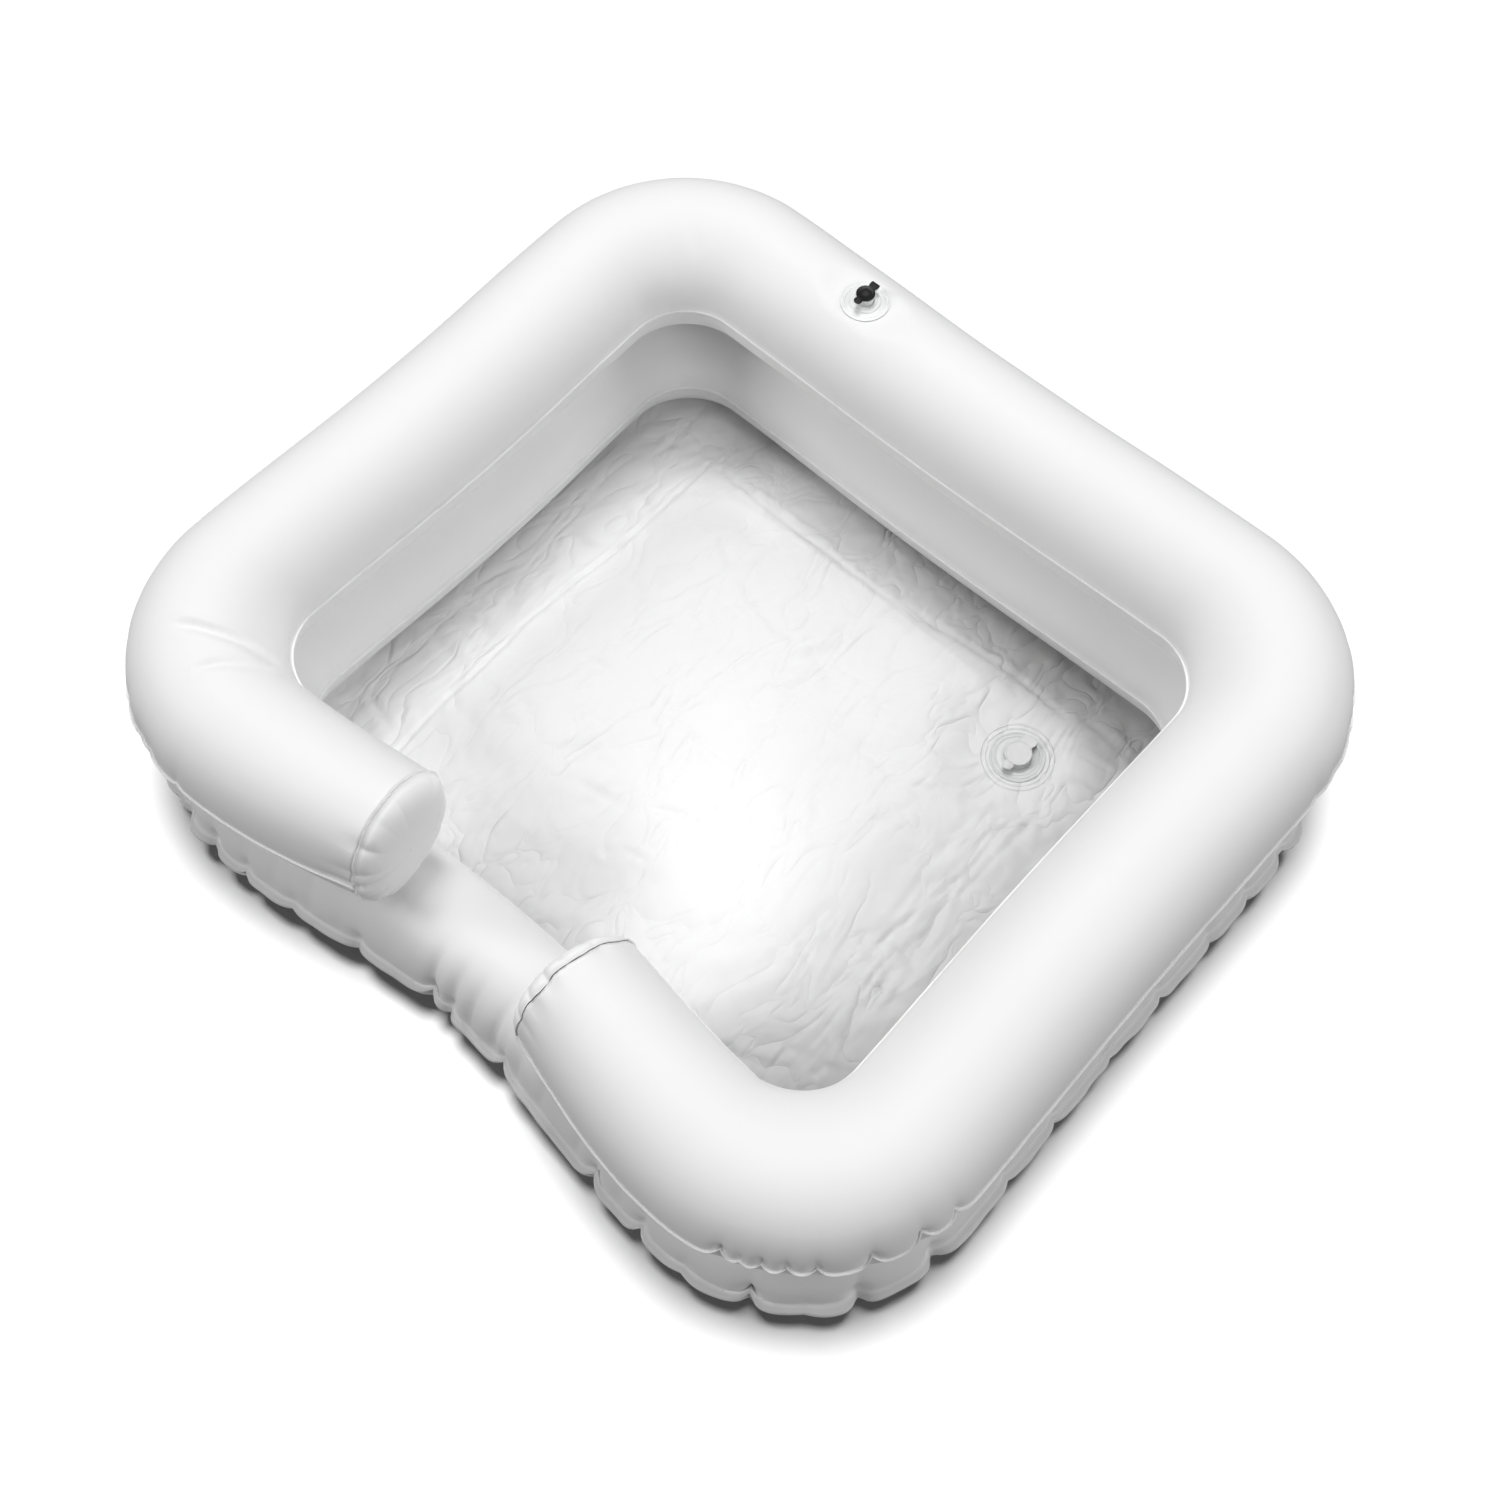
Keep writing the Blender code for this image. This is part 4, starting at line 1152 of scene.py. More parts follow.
@dataclass(frozen=True)
class FloorPad:
    """The inflated floor: an upper skin with its plateau and creases, and a flat lower skin.

    It has the lower ring's path and section, the frames of the fittings, and its own sizes.
    """

    path: RingPath
    form: TubeForm
    seats: dict[str, Matrix]
    side: int = 207
    lower_side: int = 89
    under: float = 0.87
    edge_angle: float = math.radians(236)
    rim_angle: float = math.radians(280)
    play: float = 0.0008
    edge_height: float = 0.042
    crown_height: float = 0.055
    front_drop: float = 0.007
    edge_share: float = 0.67
    power: float = 5.0
    front_power: float = 3.4
    humps: tuple[tuple[float, ...], ...] = ((0.093, -0.093, 0.080, 0.0060),
                                            (-0.016, -0.035, 0.055, 0.0022))
    flank_halves: tuple[float, float] = (0.2608, 0.2248)
    flats: tuple[tuple[str, float, float], ...] = (("drain", 0.0265, 0.045),
                                                   ("floor", 0.020, 0.012))
    drain_hole: float = 0.0106
    valve_hole: float = 0.0126
    random: np.random.Generator = field(default_factory=lambda: np.random.default_rng(31))

    def _layout(self, side: int) -> tuple[np.ndarray, np.ndarray]:
        """Square grid laid on the floor's outline.

        Args:
            side: Number of points along a side.

        Returns:
            How far each point is from the middle (1 is the rim) and its place along the path.
        """
        fine = np.linspace(0, 1, 2001)
        density = 0.95 + 0.75 * ease((fine - 0.42) / 0.08) * ease((0.88 - fine) / 0.04)
        density = density + 1.1 * bell(fine - 0.59, 0.035)
        count = np.concatenate([[0.0], np.cumsum((density[1:] + density[:-1]) / 2)])
        half = np.interp(np.linspace(0, count[-1], side // 2 + 1), count, fine)
        ticks = np.concatenate([-half[:0:-1], half])
        across, deep = np.meshgrid(ticks, ticks, indexing="ij")
        share = np.maximum(np.abs(across), np.abs(deep))
        safe = np.maximum(share, 1e-9)
        across, deep = across / safe, deep / safe
        lap = np.select([deep <= -1 + 1e-9, across >= 1 - 1e-9, deep >= 1 - 1e-9],
                        [across % 8.0, 2.0 + deep, 4.0 - across], 6.0 - deep)
        corner = self.path.corner
        tops = [int(np.argmax(np.where((self.path.places[:, 0] * sx > 0)
                                       & (self.path.places[:, 1] * sy > 0), corner, 0)))
                for sx, sy in ((1, -1), (1, 1), (-1, 1), (-1, -1))]
        anchors = [0.0, *self.path.along[tops], self.path.length]
        return share, np.interp(lap, [0.0, 1.0, 3.0, 5.0, 7.0, 8.0], anchors)

    def _height(self, x: np.ndarray, y: np.ndarray, low: float) -> np.ndarray:
        """Height of the smooth pad: flanks up to the plateau's edge, then a crown.

        It is one dome towards the front, and a plateau with slack flanks to the left and far sides.

        Args:
            x: Places in plan along X.
            y: Places in plan along Y.
            low: Height of the pad's edge.

        Returns:
            One height for each place.
        """
        inset = (self.form.radius + self.play) * math.cos(self.edge_angle)
        half_x = self.path.plan.half_width + inset
        half_y = self.path.plan.half_depth + inset
        across, deep = np.abs(x / half_x), np.abs(y / half_y)
        share = (across ** self.power + deep ** self.power) ** (1 / self.power)
        rise = np.clip((1 - share) / (1 - self.edge_share), 0, 1)
        full = ease(0.42 - y / 0.50 + x / 0.70)
        front = (across ** self.front_power + deep ** self.front_power) ** (1 / self.front_power)
        dome = low + (self.crown_height - low) * np.maximum(1 - front ** 3.4, 0) ** 0.75
        for hump_x, hump_y, reach, high in self.humps:
            dome = dome + high * bell(np.hypot(x - hump_x, y - hump_y), reach)
        flank = low + (self.edge_height - low) * rise ** 1.25
        crown = np.clip(1 - (share / self.edge_share) ** 2, 0, 1)
        slack = flank + (self.crown_height - self.edge_height) * crown
        height = full * dome + (1 - full) * slack
        return height - self.front_drop * y / half_y * ease((1 - share) / self.edge_share)

    DRAIN_STROKES = ((-0.5, 0.5), (0.010, 0.024), (0.0020, 0.0032), (0.0012, 0.0028))
    FLANK_STROKES = ((-0.5, 0.5), (0.012, 0.030), (0.0026, 0.0050), (0.0005, 0.0017))
    RIGHT_STROKES = ((1.3, 1.85), (0.007, 0.018), (0.0018, 0.0028), (0.0007, 0.0017))
    LOOSE_STROKES = ((0, math.pi), (0.010, 0.030), (0.0022, 0.0045), (0.0007, 0.0020))

    def _stroke(self, x: float, y: float, turn: float,
                ranges: tuple[tuple[float, float], ...]) -> Stroke:
        """Draws a wrinkle from the ranges of its further turn, length, width and depth."""
        more, *sizes = [self.random.uniform(low, high) for low, high in ranges]
        return Stroke(x, y, turn + more, *sizes)

    def _strokes(self) -> list[Stroke]:
        """Short wrinkles: round the drain, on three flanks, along the right side and all over."""
        random = self.random
        drain = self.seats["drain"].translation
        strokes = []
        for turn in np.linspace(0, math.tau, 17)[:-1] + random.uniform(-0.12, 0.12, 16):
            reach = random.uniform(0.036, 0.050)
            x, y = drain.x + reach * math.cos(turn), drain.y + reach * math.sin(turn)
            strokes.append(self._stroke(x, y, turn, self.DRAIN_STROKES))
        half_x, half_y = self.flank_halves
        for _ in range(80):
            flank = random.integers(1, 4) - 1
            run = random.uniform(-0.92, 0.92)
            out = random.uniform(0.70, 0.93)
            x, y = (out, run, -out)[flank] * half_x, (run, out, run)[flank] * half_y
            turn = math.pi / 2 if flank == 1 else 0.0
            strokes.append(self._stroke(x, y, turn, self.FLANK_STROKES))
        for _ in range(26):
            x, y = random.uniform(0.178, 0.214), random.uniform(-0.17, 0.09)
            strokes.append(self._stroke(x, y, 0.0, self.RIGHT_STROKES))
        for _ in range(30):
            x, y = random.uniform(-0.13, 0.15), random.uniform(-0.13, 0.13)
            strokes.append(self._stroke(x, y, 0.0, self.LOOSE_STROKES))
        return strokes

    CREASES = (
        Crease(((-184, 169), (-176, 117), (-176, 61), (-180, -1), (-182, -36), (-180, -64),
                (-178, -97), (-180, -116), (-181, -146), (-181, -171), (-178, -198)),
               0.0019, 0.0017),
        Crease(((-173, 171), (-126, 165), (-84, 164), (-45, 165),
                (-4, 163), (30, 169), (65, 173), (117, 180), (162, 175)), 0.0016, 0.0028),
        Crease(((-134, 174), (-73, 174), (-21, 165), (23, 166)), -0.0008, 0.003),
        Crease(((206, -152), (202, -113), (201, -80), (201, -61)), 0.0014, 0.0026),
        Crease(((170, -60), (197, -75), (198, -45)), 0.001, 0.0026),
        Crease(((143, -184), (174, -173), (190, -161)), 0.0013, 0.0026),
        Crease(((202, -80), (204, -57), (192, 8)), 0.0009, 0.0020),
        Crease(((190, 30), (188, 69), (192, 96)), 0.0008, 0.0020),
        Crease(((199, 15), (197, 80), (204, 140)), 0.0007, 0.0020),
        Crease(((178, -53), (170, 0), (167, 59), (181, 87)), 0.0009, 0.0034),
        Crease(((44, 72), (90, 85), (135, 87)), 0.0015, 0.0026),
        Crease(((102, 37), (132, 56), (160, 73)), 0.0015, 0.0026),
        Crease(((0, 123), (11, 54), (11, 10)), 0.0010, 0.0028),
        Crease(((-1, -88), (15, -81), (33, -78)), 0.0017, 0.0024),
        Crease(((-5, -135), (5, -124), (18, -121)), 0.0017, 0.0024),
    )

    def top(self) -> Skin:
        """Makes the upper skin.

        Inside, the outline of the film at the tube's lower quarter shrinks evenly to the middle.
        Outside, the film follows the tube down and under it to the seam.

        Returns:
            The skin.
        """
        form, path = self.form, self.path
        share, spots = self._layout(self.side)
        width, depth = form.radius + self.play, form.belly + 0.0003
        edge = width * math.cos(self.edge_angle)
        low = form.level + depth * math.sin(self.edge_angle)
        inner = path.outline(edge, spots) * np.minimum(share / self.under, 1)[..., None]
        heights = self._height(inner[..., 0], inner[..., 1], low)
        rim_share = np.clip((share - self.under) / (1 - self.under), 0, 1)
        near = ease((1 - share / self.under) / 0.04)
        heights = low + (heights - low) * np.where(share < self.under, np.maximum(near, 0.0), 0)
        x, y = inner[..., 0], inner[..., 1]
        loose = ease((1 - share / self.under) / 0.10)
        for crease in self.CREASES:
            heights = heights - crease.field(x, y) * loose
        for stroke in self._strokes():
            heights = heights - stroke.field(x, y) * loose
        flat = np.stack([x, y, 0 * x], axis=-1)
        sag = 0.0022 * soft_noise(flat, 0.078, 3) + 0.0009 * soft_noise(flat, 0.030, 4)
        sag += 0.0003 * soft_noise(flat, 0.014, 5)
        heights = heights + sag * loose
        for name, flat_radius, reach in self.flats:
            seat = self.seats[name].translation
            gap = np.hypot(x - seat.x, y - seat.y)
            heights = seat.z + (heights - seat.z) * ease((gap - flat_radius) / reach)
        points = np.concatenate([inner, heights[..., None]], axis=2)
        angle = self.edge_angle + (self.rim_angle - self.edge_angle) * rim_share
        for turn in np.unique(np.round(angle[share > self.under], 6)):
            ring = (np.abs(angle - turn) < 1e-5) & (share > self.under)
            points[ring, :2] = path.outline(width * math.cos(turn), spots[ring])
            points[ring, 2] = form.level + depth * math.sin(turn)
        skin = Skin(points, closed=False)
        seat = self.seats["drain"].translation
        gap = np.hypot(points[..., 0] - seat.x, points[..., 1] - seat.y)
        weld = bell(gap - 0.0235, 0.0022) + (rim_share > 0.9)
        skin.mark("weld", np.minimum(weld, 1.0))
        around = bell(gap, 0.055)
        flank = ease((share / self.under - 0.66) / 0.14)
        skin.mark("slack", np.clip(0.55 + 0.75 * flank + 0.7 * around, 0, 1))
        # Painted shade in the crevice towards the rim, weaker on the left.
        shade_start = 0.76 - 0.16 * ease(x / 0.18)
        weight = 0.2 + 0.9 * ease((x + 0.12) / 0.2)
        skin.mark("painted_shade", weight * ease((share / self.under - shade_start) / (1 - shade_start)))
        # Painted highlight on the front bulge, the middle and the left flank.
        painted_highlight = bell(np.hypot(x - 0.055, y + 0.095), 0.085)
        left = ease((share / self.under - 0.55) / 0.15) * ease((-x - 0.05) / 0.08)
        painted_highlight = 1.1 * painted_highlight + 0.4 * bell(np.hypot(x + 0.02, y), 0.06)
        skin.mark("edge", painted_highlight + 1.1 * left)
        skin.pierce(self.seats["drain"], self.drain_hole)
        skin.pierce(self.seats["floor"], self.valve_hole)
        return skin

    def bottom(self) -> Skin:
        """Makes the flat lower skin, on the surface that the basin lies on."""
        share, spots = self._layout(self.lower_side)
        rim = self.path.outline(self.form.radius * math.cos(self.rim_angle), spots)
        points = np.concatenate([rim * share[..., None], np.full((*share.shape, 1), FILM)], axis=2)
        skin = Skin(points, closed=False)
        skin.mark("weld", (share > 0.97) * 1.0)
        outlet = Matrix.Translation((*self.seats["drain"].translation[:2], FILM))
        skin.pierce(outlet, self.drain_hole)
        return skin


# ---------------------------------------------------------------- fittings


@dataclass(frozen=True)
class ValveSizes:
    """Sizes of an air valve, in the frame of its seat."""

    play: float = 0.0003
    flange_radius: float = 0.018
    flange_thickness: float = 0.0008
    boss_radius: float = 0.012
    boss_height: float = 0.0012
    stem_radius: float = 0.0062
    bore_radius: float = 0.0040
    stem_height: float = 0.0085
    stem_depth: float = 0.010
    rim_radius: float = 0.0072
    collar_radius: float = 0.0085
    cap_radius: float = 0.0069
    cap_thickness: float = 0.0016
    plug_depth: float = 0.004
    strap_reach: float = 0.012
    strap_width: float = 0.0072
    strap_thickness: float = 0.0009
    tab_radius: float = 0.0031
    tab_reach: float = 0.0083
    flap_radius: float = 0.0052
    flap_thickness: float = 0.0005


@dataclass(frozen=True)
class AirValve:
    """An air valve: welded flange, sliding stem, hinged cap and the check flap inside."""

    prefix: str
    seat: Matrix
    sizes: ValveSizes
    finishes: Finishes

    def build(self) -> None:
        """Makes the four pieces."""
        self._flange()
        self._stem()
        self._cap()
        self._flap()

    def _flange(self) -> None:
        """Disc with a raised middle and two pressed weld rings."""
        sizes = self.sizes
        low = sizes.play
        top = low + sizes.flange_thickness
        boss = top + sizes.boss_height
        hole = sizes.stem_radius + sizes.play
        profile = [(hole, low), (sizes.flange_radius, low), (sizes.flange_radius, top - 0.0003),
                   (sizes.flange_radius - 0.0006, top), *groove(0.0166, 0.0153, top, 0.00025),
                   *groove(0.0146, 0.0133, top, 0.00025), (sizes.boss_radius, top),
                   (sizes.boss_radius - 0.0005, top + 0.0006), (sizes.boss_radius - 0.0012, boss),
                   *groove(0.0092, 0.0081, boss, 0.0003), (hole, boss)]
        form = Moulding().turned(profile, 96)
        form.build(self.prefix + "_valve_flange", self.seat, self.finishes.clear, "basin",
                   Slot.CLEAR_VINYL)

    def _stem(self) -> None:
        """Air tube with a rim and an ear for the strap outside and a collar inside."""
        sizes = self.sizes
        rim_low = sizes.stem_height - 0.0012
        collar_top = 0.001 - sizes.stem_depth
        bore = sizes.bore_radius
        profile = [(bore, -sizes.stem_depth), (sizes.collar_radius, -sizes.stem_depth),
                   (sizes.collar_radius, collar_top), (sizes.stem_radius, collar_top),
                   (sizes.stem_radius, rim_low), (sizes.rim_radius, rim_low),
                   (sizes.rim_radius, sizes.stem_height), (bore + 0.0004, sizes.stem_height),
                   (bore, sizes.stem_height - 0.0004)]
        half = sizes.strap_width / 2
        ear = [(0.0052, half, rim_low + 0.0001, sizes.stem_height - 0.0001),
               (0.0100, half, rim_low + 0.0001, sizes.stem_height - 0.0001),
               (sizes.strap_reach, half * 0.86, rim_low + 0.0002, sizes.stem_height - 0.0001)]
        form = Moulding().turned(profile, 64).strip(ear)
        form.build(self.prefix + "_valve_stem", self.seat, self.finishes.clear,
                   body_name(self.prefix, "stem"), Slot.CLEAR_VINYL, 0.00014)

    def _cap(self) -> None:
        """Cap with a raised ring on its disc, a tapered plug, a finger tab and a strap."""
        sizes = self.sizes
        low = sizes.stem_height + sizes.play
        high = low + sizes.cap_thickness
        plug = sizes.bore_radius - sizes.play
        radius = sizes.cap_radius
        profile = [(0.0, low - sizes.plug_depth), (plug - 0.0006, low - sizes.plug_depth),
                   (plug, low - 0.0004), (plug, low), (radius - 0.0003, low),
                   (radius, low + 0.0004), (radius, high - 0.0006),
                   (radius - 0.0005, high - 0.00015),
                   (radius - 0.0016, high - 0.00035), (0.0040, high - 0.0005),
                   (0.0036, high), (0.0028, high), (0.0024, high - 0.0005), (0.0, high - 0.00045)]
        tab_high = high - sizes.strap_thickness / 2
        tab = [(0.0, low + 0.0001), (sizes.tab_radius, low + 0.0001),
               (sizes.tab_radius, tab_high - 0.0002), (sizes.tab_radius - 0.0003, tab_high),
               (0.0018, tab_high), (0.0015, tab_high - 0.00025), (0.0, tab_high - 0.00025)]
        half = sizes.strap_width / 2
        top = low + sizes.strap_thickness
        strap = [(0.0040, half * 0.80, low + 0.00005, top), (0.0070, half * 0.82, low, top),
                 (0.0088, half * 0.98, low, top), (0.0108, half, low, top),
                 (sizes.strap_reach, half * 0.90, low, top - 0.0001)]
        form = Moulding().turned(profile, 72).turned(tab, 36, (0.0, -sizes.tab_reach)).strip(strap)
        form.build(self.prefix + "_valve_cap", self.seat, self.finishes.smoked,
                   body_name(self.prefix, "cap"), Slot.SMOKED_VINYL, 0.00014)

    def _flap(self) -> None:
        """Thin round flap under the stem."""
        sizes = self.sizes
        high = -sizes.stem_depth - sizes.play
        low = high - sizes.flap_thickness
        profile = [(0.0, low), (sizes.flap_radius, low), (sizes.flap_radius, high), (0.0, high)]
        Moulding().turned(profile, 40).build(
            self.prefix + "_valve_flap", self.seat, self.finishes.clear,
            body_name(self.prefix, "flap"), Slot.CLEAR_VINYL, 0.00008)


def groove(outer: float, inner: float, top: float, depth: float) -> list[tuple[float, float]]:
    """Points of a pressed ring in a profile that runs inwards, with sloping sides."""
    slope = 0.0003
    return [(outer, top), (outer - slope, top - depth), (inner + slope, top - depth), (inner, top)]


def body_name(prefix: str, piece: str) -> str:
    """Name of the body that a valve's piece rides on."""
    return f"{prefix.removesuffix('_ring')}_{piece}"


@dataclass(frozen=True)
class Drain:
    """The drain: flanged neck, outlet ring under the floor, and the hinged stopper."""

    seat: Matrix
    finishes: Finishes
    play: float = 0.0003
    height: float = 0.034
    neck: float = 0.0102
    bore: float = 0.0080
    rim_top: float = 0.0058

    def build(self) -> None:
        """Makes the three pieces."""
        self._flange()
        self._outlet()
        self._stopper()

    def _flange(self) -> None:
        """Neck through the pad with a welded flange, pressed rings and a lug for the strap."""
        low = self.play
        top = low + 0.001
        profile = [(self.bore, -self.height), (self.neck, -self.height), (self.neck, low),
                   (0.0205, low), (0.0205, top - 0.0004), (0.0200, top),
                   *groove(0.0192, 0.0177, top, 0.0003), *groove(0.0166, 0.0151, top, 0.0003),
                   (0.0122, top),
                   (self.neck, top + 0.0009), (self.neck, self.rim_top - 0.0004),
                   (self.neck - 0.0004, self.rim_top), (self.bore + 0.0004, self.rim_top),
                   (self.bore, self.rim_top - 0.0004)]
        lug = [(0.0136, 0.0055, low + 0.0005, self.rim_top - 0.0001),
               (0.0164, 0.0052, low + 0.0005, self.rim_top - 0.0001)]
        form = Moulding().turned(profile, 96).strip(lug)
        form.build("drain_flange", self.seat, self.finishes.drain, "basin", Slot.CLEAR_VINYL)

    def _outlet(self) -> None:
        """Ring welded on the lower sheet round the neck's foot."""
        bore = self.neck + self.play
        low = FILM + self.play
        profile = [(bore, low), (0.018, low), (0.018, low + 0.001), (bore + 0.002, low + 0.001),
                   (bore + 0.002, low + 0.010), (bore, low + 0.010)]
        place = Matrix.Translation((self.seat.translation.x, self.seat.translation.y, 0))
        Moulding().turned(profile, 72).build("drain_outlet_ring", place, self.finishes.drain,
                                             "basin", Slot.CLEAR_VINYL)

    def _stopper(self) -> None:
        """Flat disc with a raised edge, a plug, a finger nub and a wide strap."""
        low = self.rim_top + self.play
        high = low + 0.0018
        plug = self.bore - self.play
        profile = [(0.0, low - 0.006), (plug - 0.0009, low - 0.006), (plug, low - 0.0008),
                   (plug, low), (0.0097, low), (0.0101, low + 0.0004), (0.0101, high - 0.0004),
                   (0.0097, high), (0.0090, high), (0.0087, high - 0.0003), (0.0, high - 0.0003)]
        nub_high = high - 0.0006
        nub = [(0.0, low + 0.0001), (0.0042, low + 0.0001), (0.0042, nub_high - 0.0003),
               (0.0038, nub_high), (0.0, nub_high)]
        top = low + 0.0012
        strap = [(0.0070, 0.0048, low + 0.0001, top), (0.0098, 0.0050, low, top),
                 (0.0120, 0.0055, low, top), (0.0150, 0.0055, low, top),
                 (0.0165, 0.0052, low, top - 0.0001)]
        form = Moulding().turned(profile, 96).turned(nub, 48, (0.0, -0.0118)).strip(strap)
        form.build("drain_stopper", self.seat, self.finishes.white, "stopper", Slot.WHITE_VINYL)


# ---------------------------------------------------------------- the whole basin


class Basin:
    """The whole basin."""

    LOWER = TubeForm(radius=0.0485, crest=0.04776, belly=0.04776, level=0.04916318,
                     flange=0.0060, shift=0.0020, droop=0.0040, valley=0.45)
    UPPER = TubeForm(radius=0.052, crest=0.052, belly=0.05115, level=0.14843636,
                     flange=0.0018, shift=0.0016, gathers_up=True)
    CONTACT = 0.09722635
    VALVE_FLAT = 0.0195
    VALVE_REACH = 0.026
    VALVE_RISE = 0.0040
    VALVE_HOLE = 0.0126
    LOWER_NOTCHES = ((-252, -308, 2.5, 4), (-218, -320, 3.0, 4), (-184, -313, 2.5, 4),
                     (-139, -307, 1.5, 5), (-87, -296, 3.0, 6), (-22, -288, 5.0, 5),
                     (-5, -286, 3.5, 4), (48, -288, 3.5, 5), (147, -292, 4.0, 5),
                     (193, -303, 3.5, 4), (228, -297, 1.5, 4), (269, -288, 5.5, 3.4),
                     (296, -270, 0.8, 4), (321, -246, 5.5, 3.4), (347, -197, 6.0, 3.8),
                     (345, -127, 1.5, 4), (346, -75, 2.0, 4), (347, -16, 1.5, 5),
                     (345, 40, 2.0, 4), (343, 96, 1.8, 5), (342, 140, 2.0, 4), (341, 184, 2.4, 4),
                     (344, 226, 3.0, 4), (330, 291, 3.0, 5))
    NECK_FOLDS = ((-158, -308, 1.5, 5, 34), (-128, -303, 2.0, 5, 40), (-102, -297, 1.4, 5, 30),
                  (-60, -290, 1.0, 7, 40), (-22, -288, 4.0, 3.6, 46), (-12, -287, -1.2, 4, 40),
                  (-3, -286, 3.8, 3.0, 38), (6, -286, -1.0, 4, 36), (15, -287, 2.8, 3.4, 44),
                  (26, -287, -1.0, 4, 36), (37, -288, 4.0, 3.6, 48), (50, -289, -1.4, 5, 36),
                  (62, -290, 2.2, 4.4, 34), (90, -295, 1.8, 4.4, 36), (128, -295, 2.4, 4.4, 30),
                  (170, -297, 2.0, 5, 30), (345, -60, 1.4, 6, 24), (345, 20, 1.4, 7, 24),
                  (342, 120, 1.6, 6, 24))
    UPPER_CUSPS = ((258, -303, 4.4, 2.6), (270, -300, 2.2, 2.4), (282, -296, 3.6, 2.4),
                   (294, -285, 3.4, 2.4), (307, -274, 3.6, 2.4), (327, -248, 4.8, 2.6),
                   (344, -217, 5.4, 2.8), (352, -193, 3.4, 2.4))
    CORNER_CREASES = (
        Crease(((-274, -242), (-255, -231), (-237, -221), (-220, -217)), 0.0036, 0.0030),
        Crease(((-239, -252), (-229, -239), (-216, -226)), 0.0026, 0.0028),
        Crease(((-262, 236), (-240, 222)), 0.0008, 0.0045),
    )

    def __init__(self) -> None:
        """Makes the finishes, the paths and the seats of the fittings."""
        self.finishes = Finishes()
        self.seats = {
            "upper": seat_frame((-0.113, 0.262, 0.19643636), (0, 0, 1), (0, 1, 0)),
            "lower": seat_frame((-0.113, 0.29584690, 0.07756441),
                                (0, 0.76604444, 0.64278761), (-1, 0, 0)),
            "floor": seat_frame((0.222, -0.190, 0.026), (0, 0, 1), (-1, 0, 0)),
            "drain": seat_frame((0.159, 0.1245, 0.034), (0, 0, 1), (0, 1, 0)),
        }
        upper_plan = RingPlan(neck_bow=0.024, gap=0.081)
        self.upper = Ring("upper_ring", RingPath(upper_plan, (-0.113,)), self.UPPER, 3)
        self.lower = Ring("lower_ring", RingPath(RingPlan(), (-0.113,)), self.LOWER, 8)
        self.upper.set_cusps(self.UPPER_CUSPS, 10, 0)
        self.upper.creases = self.CORNER_CREASES
        self.upper.ends = {0: ArmEnd(0.0028, 0.0018, 5, 1.4), -1: ArmEnd(0.0034, 0.0005, 9, -0.2)}
        self.lower.set_cusps(self.LOWER_NOTCHES, 9, 7)
        self.lower.set_folds(self.NECK_FOLDS)

    def build(self) -> None:
        """Makes every piece."""
        self._rings()
        self._caps()
        self._floor()
        sizes = ValveSizes()
        for prefix, key in (("upper_ring", "upper"), ("lower_ring", "lower"), ("floor", "floor")):
            AirValve(prefix, self.seats[key], sizes, self.finishes).build()
        Drain(self.seats["drain"], self.finishes).build()

    def _rings(self) -> None:
        """Makes the four skins of the rings."""
        for ring, key in ((self.upper, "upper"), (self.lower, "lower")):
            top = ring.skin(Side.TOP)
            top.press(self.seats[key], self.VALVE_FLAT, self.VALVE_REACH, self.VALVE_RISE)
            top.pierce(self.seats[key], self.VALVE_HOLE)
            self._finish(top, ring.name + "_top_sheet", False)
            self._finish(ring.skin(Side.BOTTOM), ring.name + "_bottom_sheet", True)

    def _caps(self) -> None:
        """Makes the two caps of the arms."""
        for name, end in (("right_end_cap", 0), ("left_end_cap", -1)):
            self._finish(ArmCap(self.upper, end).skin(self.CONTACT), name, False)

    def _floor(self) -> None:
        """Makes the two skins of the floor."""
        pad = FloorPad(self.lower.path, self.LOWER, self.seats)
        self._finish(pad.top(), "floor_top_sheet", False, self.finishes.shaded_floor_film)
        self._finish(pad.bottom(), "floor_bottom_sheet", True)

    def _finish(self, skin: Skin, node: str, flip: bool,
                material: bpy.types.Material | None = None) -> None:
        """Builds a skin in place of its CAD node."""
        item = skin.build(node + "_skin", material or self.finishes.film, flip)
        settle(item, "basin", node)


# ---------------------------------------------------------------- studio


@dataclass(frozen=True)
class Lamp:
    """A soft area lamp aimed at the middle of the basin."""

    name: str
    azimuth: float
    elevation: float
    distance: float
    size: float
    power: float
    for_floor: bool = False
    aim_height: float = 0.1

    def build(self, lit: bpy.types.Collection) -> None:
        """Makes the lamp, which lights only the objects of that collection."""
        data = bpy.data.lights.new(self.name, "AREA")
        data.shape = "DISK"
        data.size = self.size
        data.energy = self.power
        item = bpy.data.objects.new(self.name, data)
        bpy.context.scene.collection.objects.link(item)
        way = direction(self.azimuth, self.elevation)
        item.location = Vector((0, 0, self.aim_height)) + way * self.distance
        item.rotation_euler = way.to_track_quat("Z", "Y").to_euler()
        item.light_linking.receiver_collection = lit


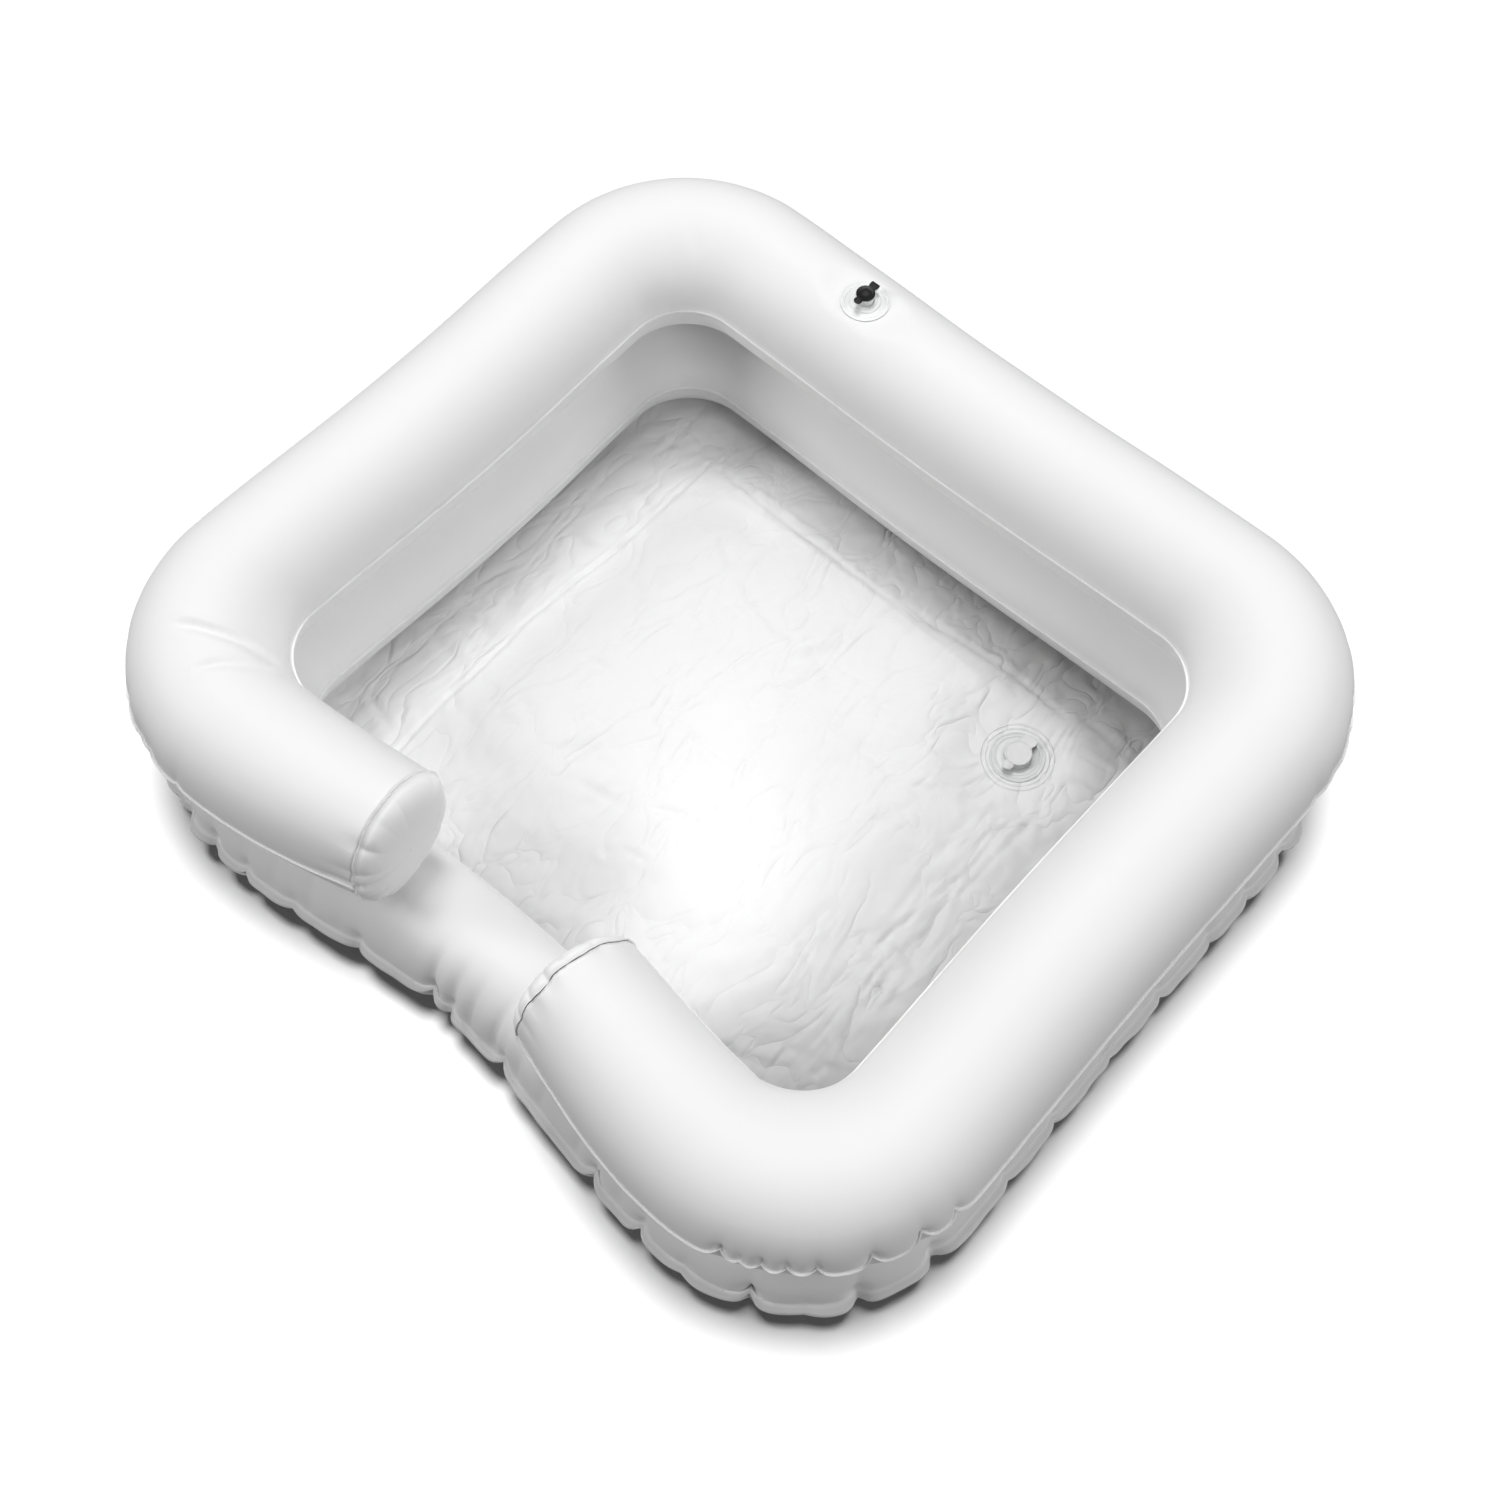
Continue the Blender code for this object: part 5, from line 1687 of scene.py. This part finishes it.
@dataclass(frozen=True)
class Camera:
    """The camera at the photo's angle; turns are in degrees."""

    target: tuple[float, float, float] = (0.0490, -0.0431, 0.1484)
    distance: float = 1.3883
    azimuth: float = 41.69
    elevation: float = 63.20
    roll: float = 0.084
    lens: float = 50.14
    sensor: float = 36.0

    def build(self) -> None:
        """Makes the camera and renders through it."""
        turn, roll = math.radians(self.azimuth), math.radians(self.roll)
        back = direction(self.azimuth, self.elevation)
        right = Vector((math.cos(turn), math.sin(turn), 0))
        side = right * math.cos(roll) + back.cross(right) * math.sin(roll)
        data = bpy.data.cameras.new("camera")
        data.lens = self.lens
        data.sensor_width = self.sensor
        data.clip_start = 0.05
        camera = bpy.data.objects.new("camera", data)
        bpy.context.scene.collection.objects.link(camera)
        place = Vector(self.target) + back * self.distance
        camera.matrix_world = axes_frame(side, back.cross(side), back, place)
        bpy.context.scene.camera = camera


class Studio:
    """White floor, white surroundings, soft lamps and the camera."""

    FLOOR_HALF = 2.4
    FLOOR_HEIGHT = -0.0002
    FLOOR_TONES = (0.18, 0.55)
    AMBIENT = 0.10
    LAMPS = (
        Lamp("key_lamp", 221.7, 65.0, 5.0, 1.9, 119.0),
        Lamp("top_lamp", 41.7, 88.0, 5.0, 1.9, 30.0),
        Lamp("left_lamp", 311.7, 40.0, 5.0, 1.9, 87.0),
        Lamp("right_lamp", 131.7, 40.0, 5.0, 1.9, 52.0),
        Lamp("front_lamp", 86.7, 40.0, 5.0, 1.9, 41.0),
        Lamp("floor_lamp", 41.7, 89.0, 8.0, 2.2, 1240.0, for_floor=True),
    )

    def build(self) -> None:
        """Makes the whole stage."""
        pieces = [item for item in bpy.context.scene.objects if item.type == "MESH"]
        on_pieces = self._group("lit_pieces", pieces)
        on_floor = self._group("lit_floor", [self._floor()])
        self._world()
        for lamp in self.LAMPS:
            lamp.build(on_floor if lamp.for_floor else on_pieces)
        Camera().build()
        bpy.context.scene.view_settings.view_transform = "Standard"

    @staticmethod
    def _group(name: str, items: list[bpy.types.Object]) -> bpy.types.Collection:
        """Makes a collection that only says what a lamp lights."""
        group = bpy.data.collections.new(name)
        for item in items:
            group.objects.link(item)
        return group

    @staticmethod
    def _floor() -> bpy.types.Object:
        """Makes the plain pale floor, which throws less light back on the basin."""
        nodes = Nodes("studio_floor")
        seen = nodes.add("ShaderNodeLightPath").outputs["Is Camera Ray"]
        nodes.dress(Base_Color=nodes.span(seen, *Studio.FLOOR_TONES), Roughness=0.9,
                    Specular_IOR_Level=0.1)
        corners = np.array([(-1, -1), (1, -1), (1, 1), (-1, 1)]) * Studio.FLOOR_HALF
        points = np.column_stack([corners, np.full(4, Studio.FLOOR_HEIGHT)])
        floor = make_object("studio_floor", points, [[0, 1, 2, 3]], nodes.material)
        return floor

    def _world(self) -> None:
        """White to the camera and in reflections, and a softer ambient light for surfaces."""
        world = bpy.data.worlds.new("studio")
        bpy.context.scene.world = world
        world.use_nodes = True
        tree = world.node_tree
        background = tree.nodes["Background"]
        background.inputs["Color"].default_value = (1, 1, 1, 1)
        path = tree.nodes.new("ShaderNodeLightPath")
        camera = tree.nodes.new("ShaderNodeMapRange")
        camera.inputs["To Min"].default_value = self.AMBIENT
        camera.inputs["To Max"].default_value = 1.0
        tree.links.new(path.outputs["Is Camera Ray"], camera.inputs["Value"])
        tree.links.new(camera.outputs["Result"], background.inputs["Strength"])


def main() -> None:
    """Builds the basin and its stage."""
    logging.basicConfig(level=logging.INFO, format="%(message)s")
    Basin().build()
    Studio().build()


if __name__ == "__main__":
    main()
